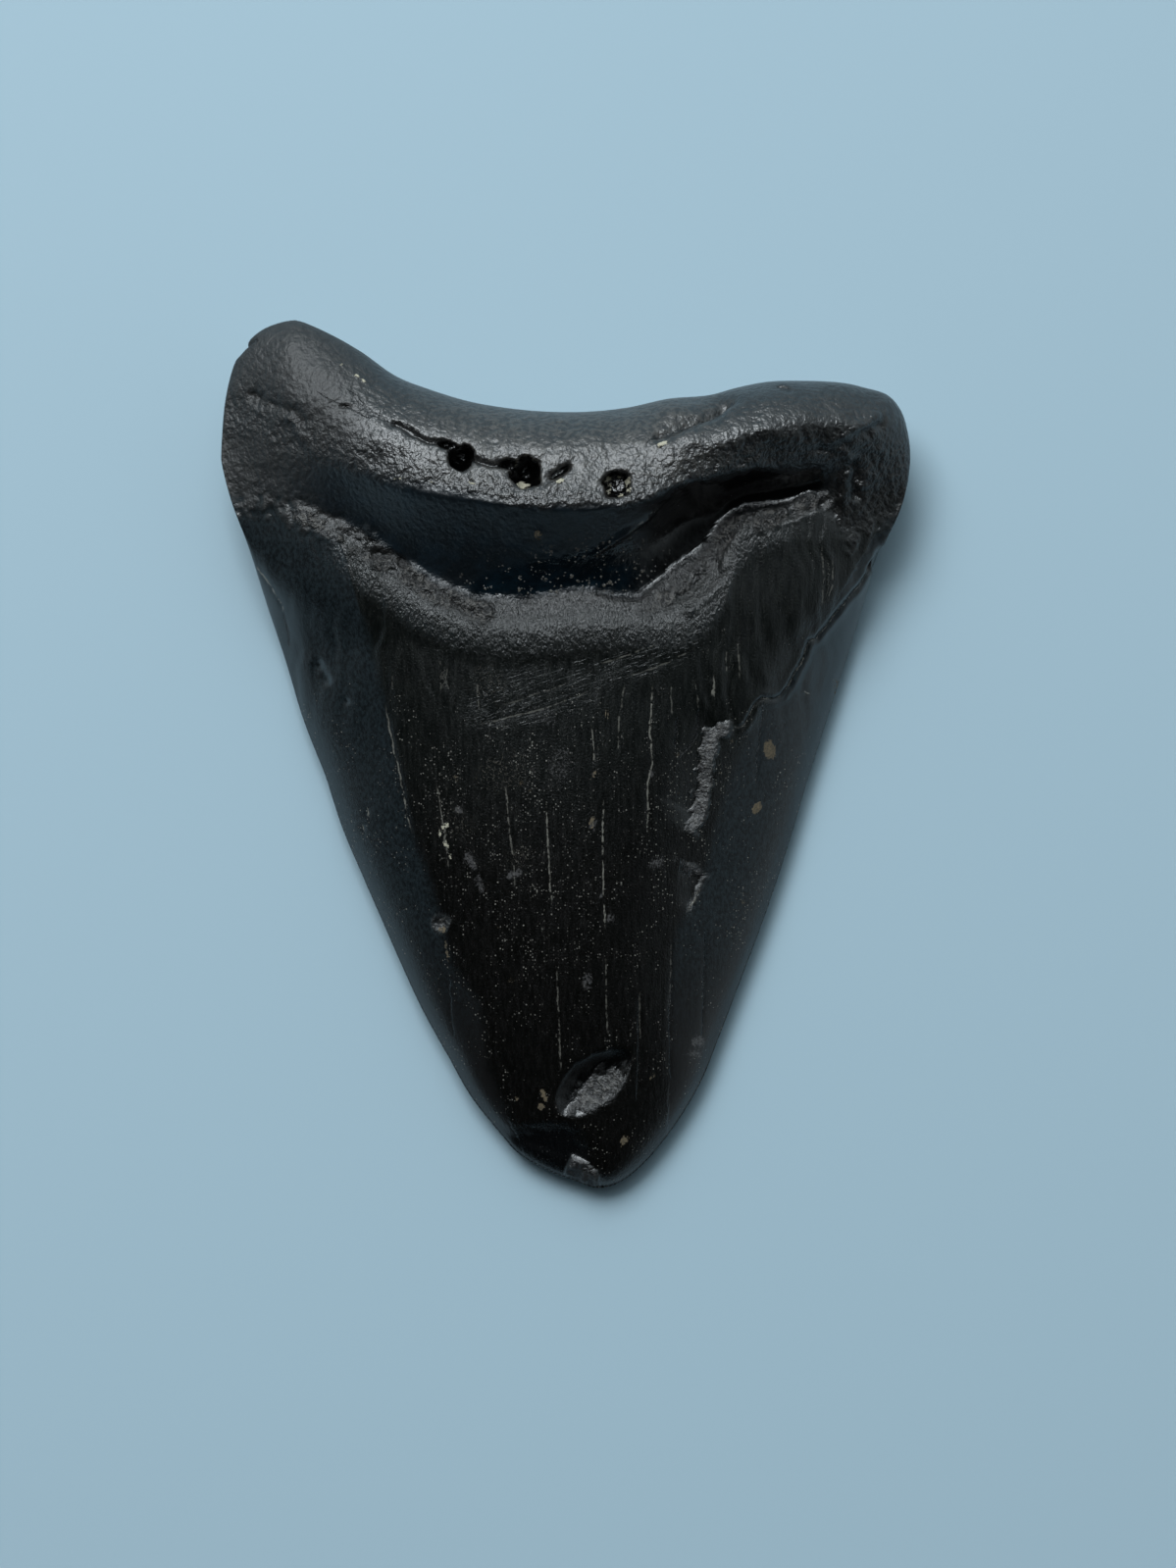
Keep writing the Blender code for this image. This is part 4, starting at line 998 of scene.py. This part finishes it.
# Painted shade: the holes and the chip's upper left are painted black.
hole_shade = add("MapRange", masks["depth"], 0.1, 0.5)
colour = coated(
    bone_colour_and_sheen,
    (masks["hollow"], hollow_colour_reflection_and_shade),
    (masks["enamel"], enamel_colour),
    # Rubble grains on the broken edges; on the chip's lit side and the flaked steps' faces, painted
    # light.
    (add("MapRange", masks["broken"], 0.2, 0.8, 0.0, 0.85), tones["rubble"]),
    (hole_shade, "#020202"),
    (add("MULTIPLY", masks["tip_broken"], 0.9), "#030405"),
    (bruise_and_lit_scarp_share, "#4c4b4b"),
    (net_share, "#46433d"),
    (pale_line, "#6b6962"),
    (dark_line, "#020202"),
    (add("MULTIPLY", stain_share, 0.9), tones["clay"]),
    (crumb_share, "#9a9583"),
    **COLOURS)
links.new(colour, surface.inputs["Base Color"])

# Shine: satin bone that is duller on the left lobe, glossy enamel, and a hollow floor that is
# polished where it is deepest.
deep_floor = add("MAXIMUM", masks["shaded_hollow_end"], masks["grit"])
roughness = coated(
    0.34,
    (add("MAXIMUM", masks["near_crest"], masks["painted_sheen_band"]), 0.41),
    (add("MapRange", across_tooth, -28.0 * MM, -19.0 * MM, 1.0, 0.0), 0.6),
    (masks["hollow"], add("MapRange", deep_floor, 0.55, 1.0, 0.38, 0.14)),
    (masks["enamel"], coated(add("MapRange", streak_noise, 0.3, 0.7, 0.21, 0.28),
                             (masks["blade"], 0.25))),
    (speck_share, 0.55),
    (hole_shade, 0.2),
    (masks["lip"], 0.33),
    (add("MapRange", masks["broken"], 0.0, 0.35), 0.5),
    (add("MAXIMUM", stain_share, crumb_share), 0.85))
links.new(roughness, surface.inputs["Roughness"])

# Heights below the size of the mesh, in millimetres.
hatch_noise = noise(0.3, (1.0, 2.2, 1.0), 3.0, 0.6)
pebble_height = coated(0.25, (masks["near_crest"], 0.45),
                       (masks["hollow"], add("Mix", masks["shaded_hollow_end"], 0.12, 0.02)))
bone_height = piled(0.0, (pebble_noise, pebble_height), (grit_share, 0.08))
enamel_height = piled(0.0, (streak_noise, add("Mix", masks["blade"], 0.045, 0.015)),
                      (speck_noise, add("Mix", masks["blade"], 0.05, 0.02)),
                      (scratch_share, -0.03))
height = piled(add("Mix", masks["enamel"], bone_height, enamel_height),
               (hatch_noise, add("MULTIPLY", masks["lip"], 0.31)),
               (rubble_noise, add("MULTIPLY", masks["broken"], 0.75)),
               (dark_line, -0.2), (crumb_share, 0.1))
bump = add("Bump", 1.0, MM).node
links.new(height, bump.inputs["Height"])
links.new(bump.outputs["Normal"], surface.inputs["Normal"])
surface.inputs["IOR"].default_value = FOSSIL_IOR
mesh.materials.append(material)

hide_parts("tooth")
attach(fossil_tooth, "root")

# ---- Floor, light and camera ----
# A plain pale floor, one large soft window light from the upper left, and dim surroundings
# that are darkest overhead. The camera looks straight down.
FLOOR_SIZE = 3.0                  # metres from its middle to a side
floor_mesh = bpy.data.meshes.new("floor")
floor_corners = [(-FLOOR_SIZE, -FLOOR_SIZE, 0.0), (FLOOR_SIZE, -FLOOR_SIZE, 0.0),
                 (FLOOR_SIZE, FLOOR_SIZE, 0.0), (-FLOOR_SIZE, FLOOR_SIZE, 0.0)]
floor_mesh.from_pydata(floor_corners, [], [(0, 1, 2, 3)])
floor = bpy.data.objects.new("floor", floor_mesh)
bpy.context.scene.collection.objects.link(floor)
floor_finish = bpy.data.materials.new("pale_paper")
floor_finish.use_nodes = True
paper = floor_finish.node_tree.nodes["Principled BSDF"]
paper.inputs["Base Color"].default_value = linear("#9bb1bc")
paper.inputs["Roughness"].default_value = 0.9
paper.inputs["Specular IOR Level"].default_value = 0.2
floor_mesh.materials.append(floor_finish)

WINDOW_PLACE = np.array([-0.185, 0.456, 0.63])    # metres from the tooth's middle
WINDOW_SIZE, WINDOW_POWER = 0.42, 5.5             # metres, watts
window_light = bpy.data.lights.new("window", "AREA")
window_light.size = WINDOW_SIZE
window_light.energy = WINDOW_POWER
window_light.color = (0.95, 1.0, 1.04)
window = bpy.data.objects.new("window", window_light)
window.location = WINDOW_PLACE
towards = WINDOW_PLACE / np.linalg.norm(WINDOW_PLACE)
window.rotation_euler = (math.acos(towards[2]), 0.0,
                         math.atan2(towards[1], towards[0]) + math.pi / 2)
bpy.context.scene.collection.objects.link(window)

GLOW_TOWARDS = (0.13, 0.42, -0.50)    # the surroundings are brightest low and away from the tip
GLOW_LEVEL, DARKEST = 0.46, 0.008
PALE_WALL = (-0.12, 0.61, 0.78)       # direction of a soft pale patch beside the window
PALE_WALL_LEVEL = 1.8
ROOM_TINT = (0.86, 1.0, 1.07, 1.0)

world = bpy.data.worlds.new("dim_room")
bpy.context.scene.world = world
world.use_nodes = True
nodes, links = world.node_tree.nodes, world.node_tree.links
direction = add("TexCoord", output="Generated")
glow = add("VectorMath", direction, GLOW_TOWARDS, operation="DOT_PRODUCT")
glow = add("MAXIMUM", add("ADD", glow, GLOW_LEVEL), DARKEST)
wall = add("VectorMath", direction, PALE_WALL, operation="DOT_PRODUCT")
wall = add("MapRange", wall, 0.80, 0.96, 0.0, PALE_WALL_LEVEL)
background = nodes["Background"]
background.inputs["Color"].default_value = ROOM_TINT
links.new(add("ADD", glow, wall), background.inputs["Strength"])

FRAME_MIDDLE = (2.6, -3.2)        # point of the resting plane under the camera, in mm
FRAME_HEIGHT = 183.9              # what the frame's long side covers at the outline, in mm
CAMERA_HEIGHT = 500.0
OUTLINE_HEIGHT = 5.0
SENSOR = 36.0
camera = bpy.data.cameras.new("camera")
camera.sensor_width = SENSOR
camera.lens = SENSOR * (CAMERA_HEIGHT - OUTLINE_HEIGHT) / FRAME_HEIGHT
camera.clip_start = 0.01
viewer = bpy.data.objects.new("camera", camera)
viewer.location = (FRAME_MIDDLE[0] * MM, FRAME_MIDDLE[1] * MM, CAMERA_HEIGHT * MM)
bpy.context.scene.collection.objects.link(viewer)
bpy.context.scene.camera = viewer
bpy.context.scene.view_settings.view_transform = "Standard"
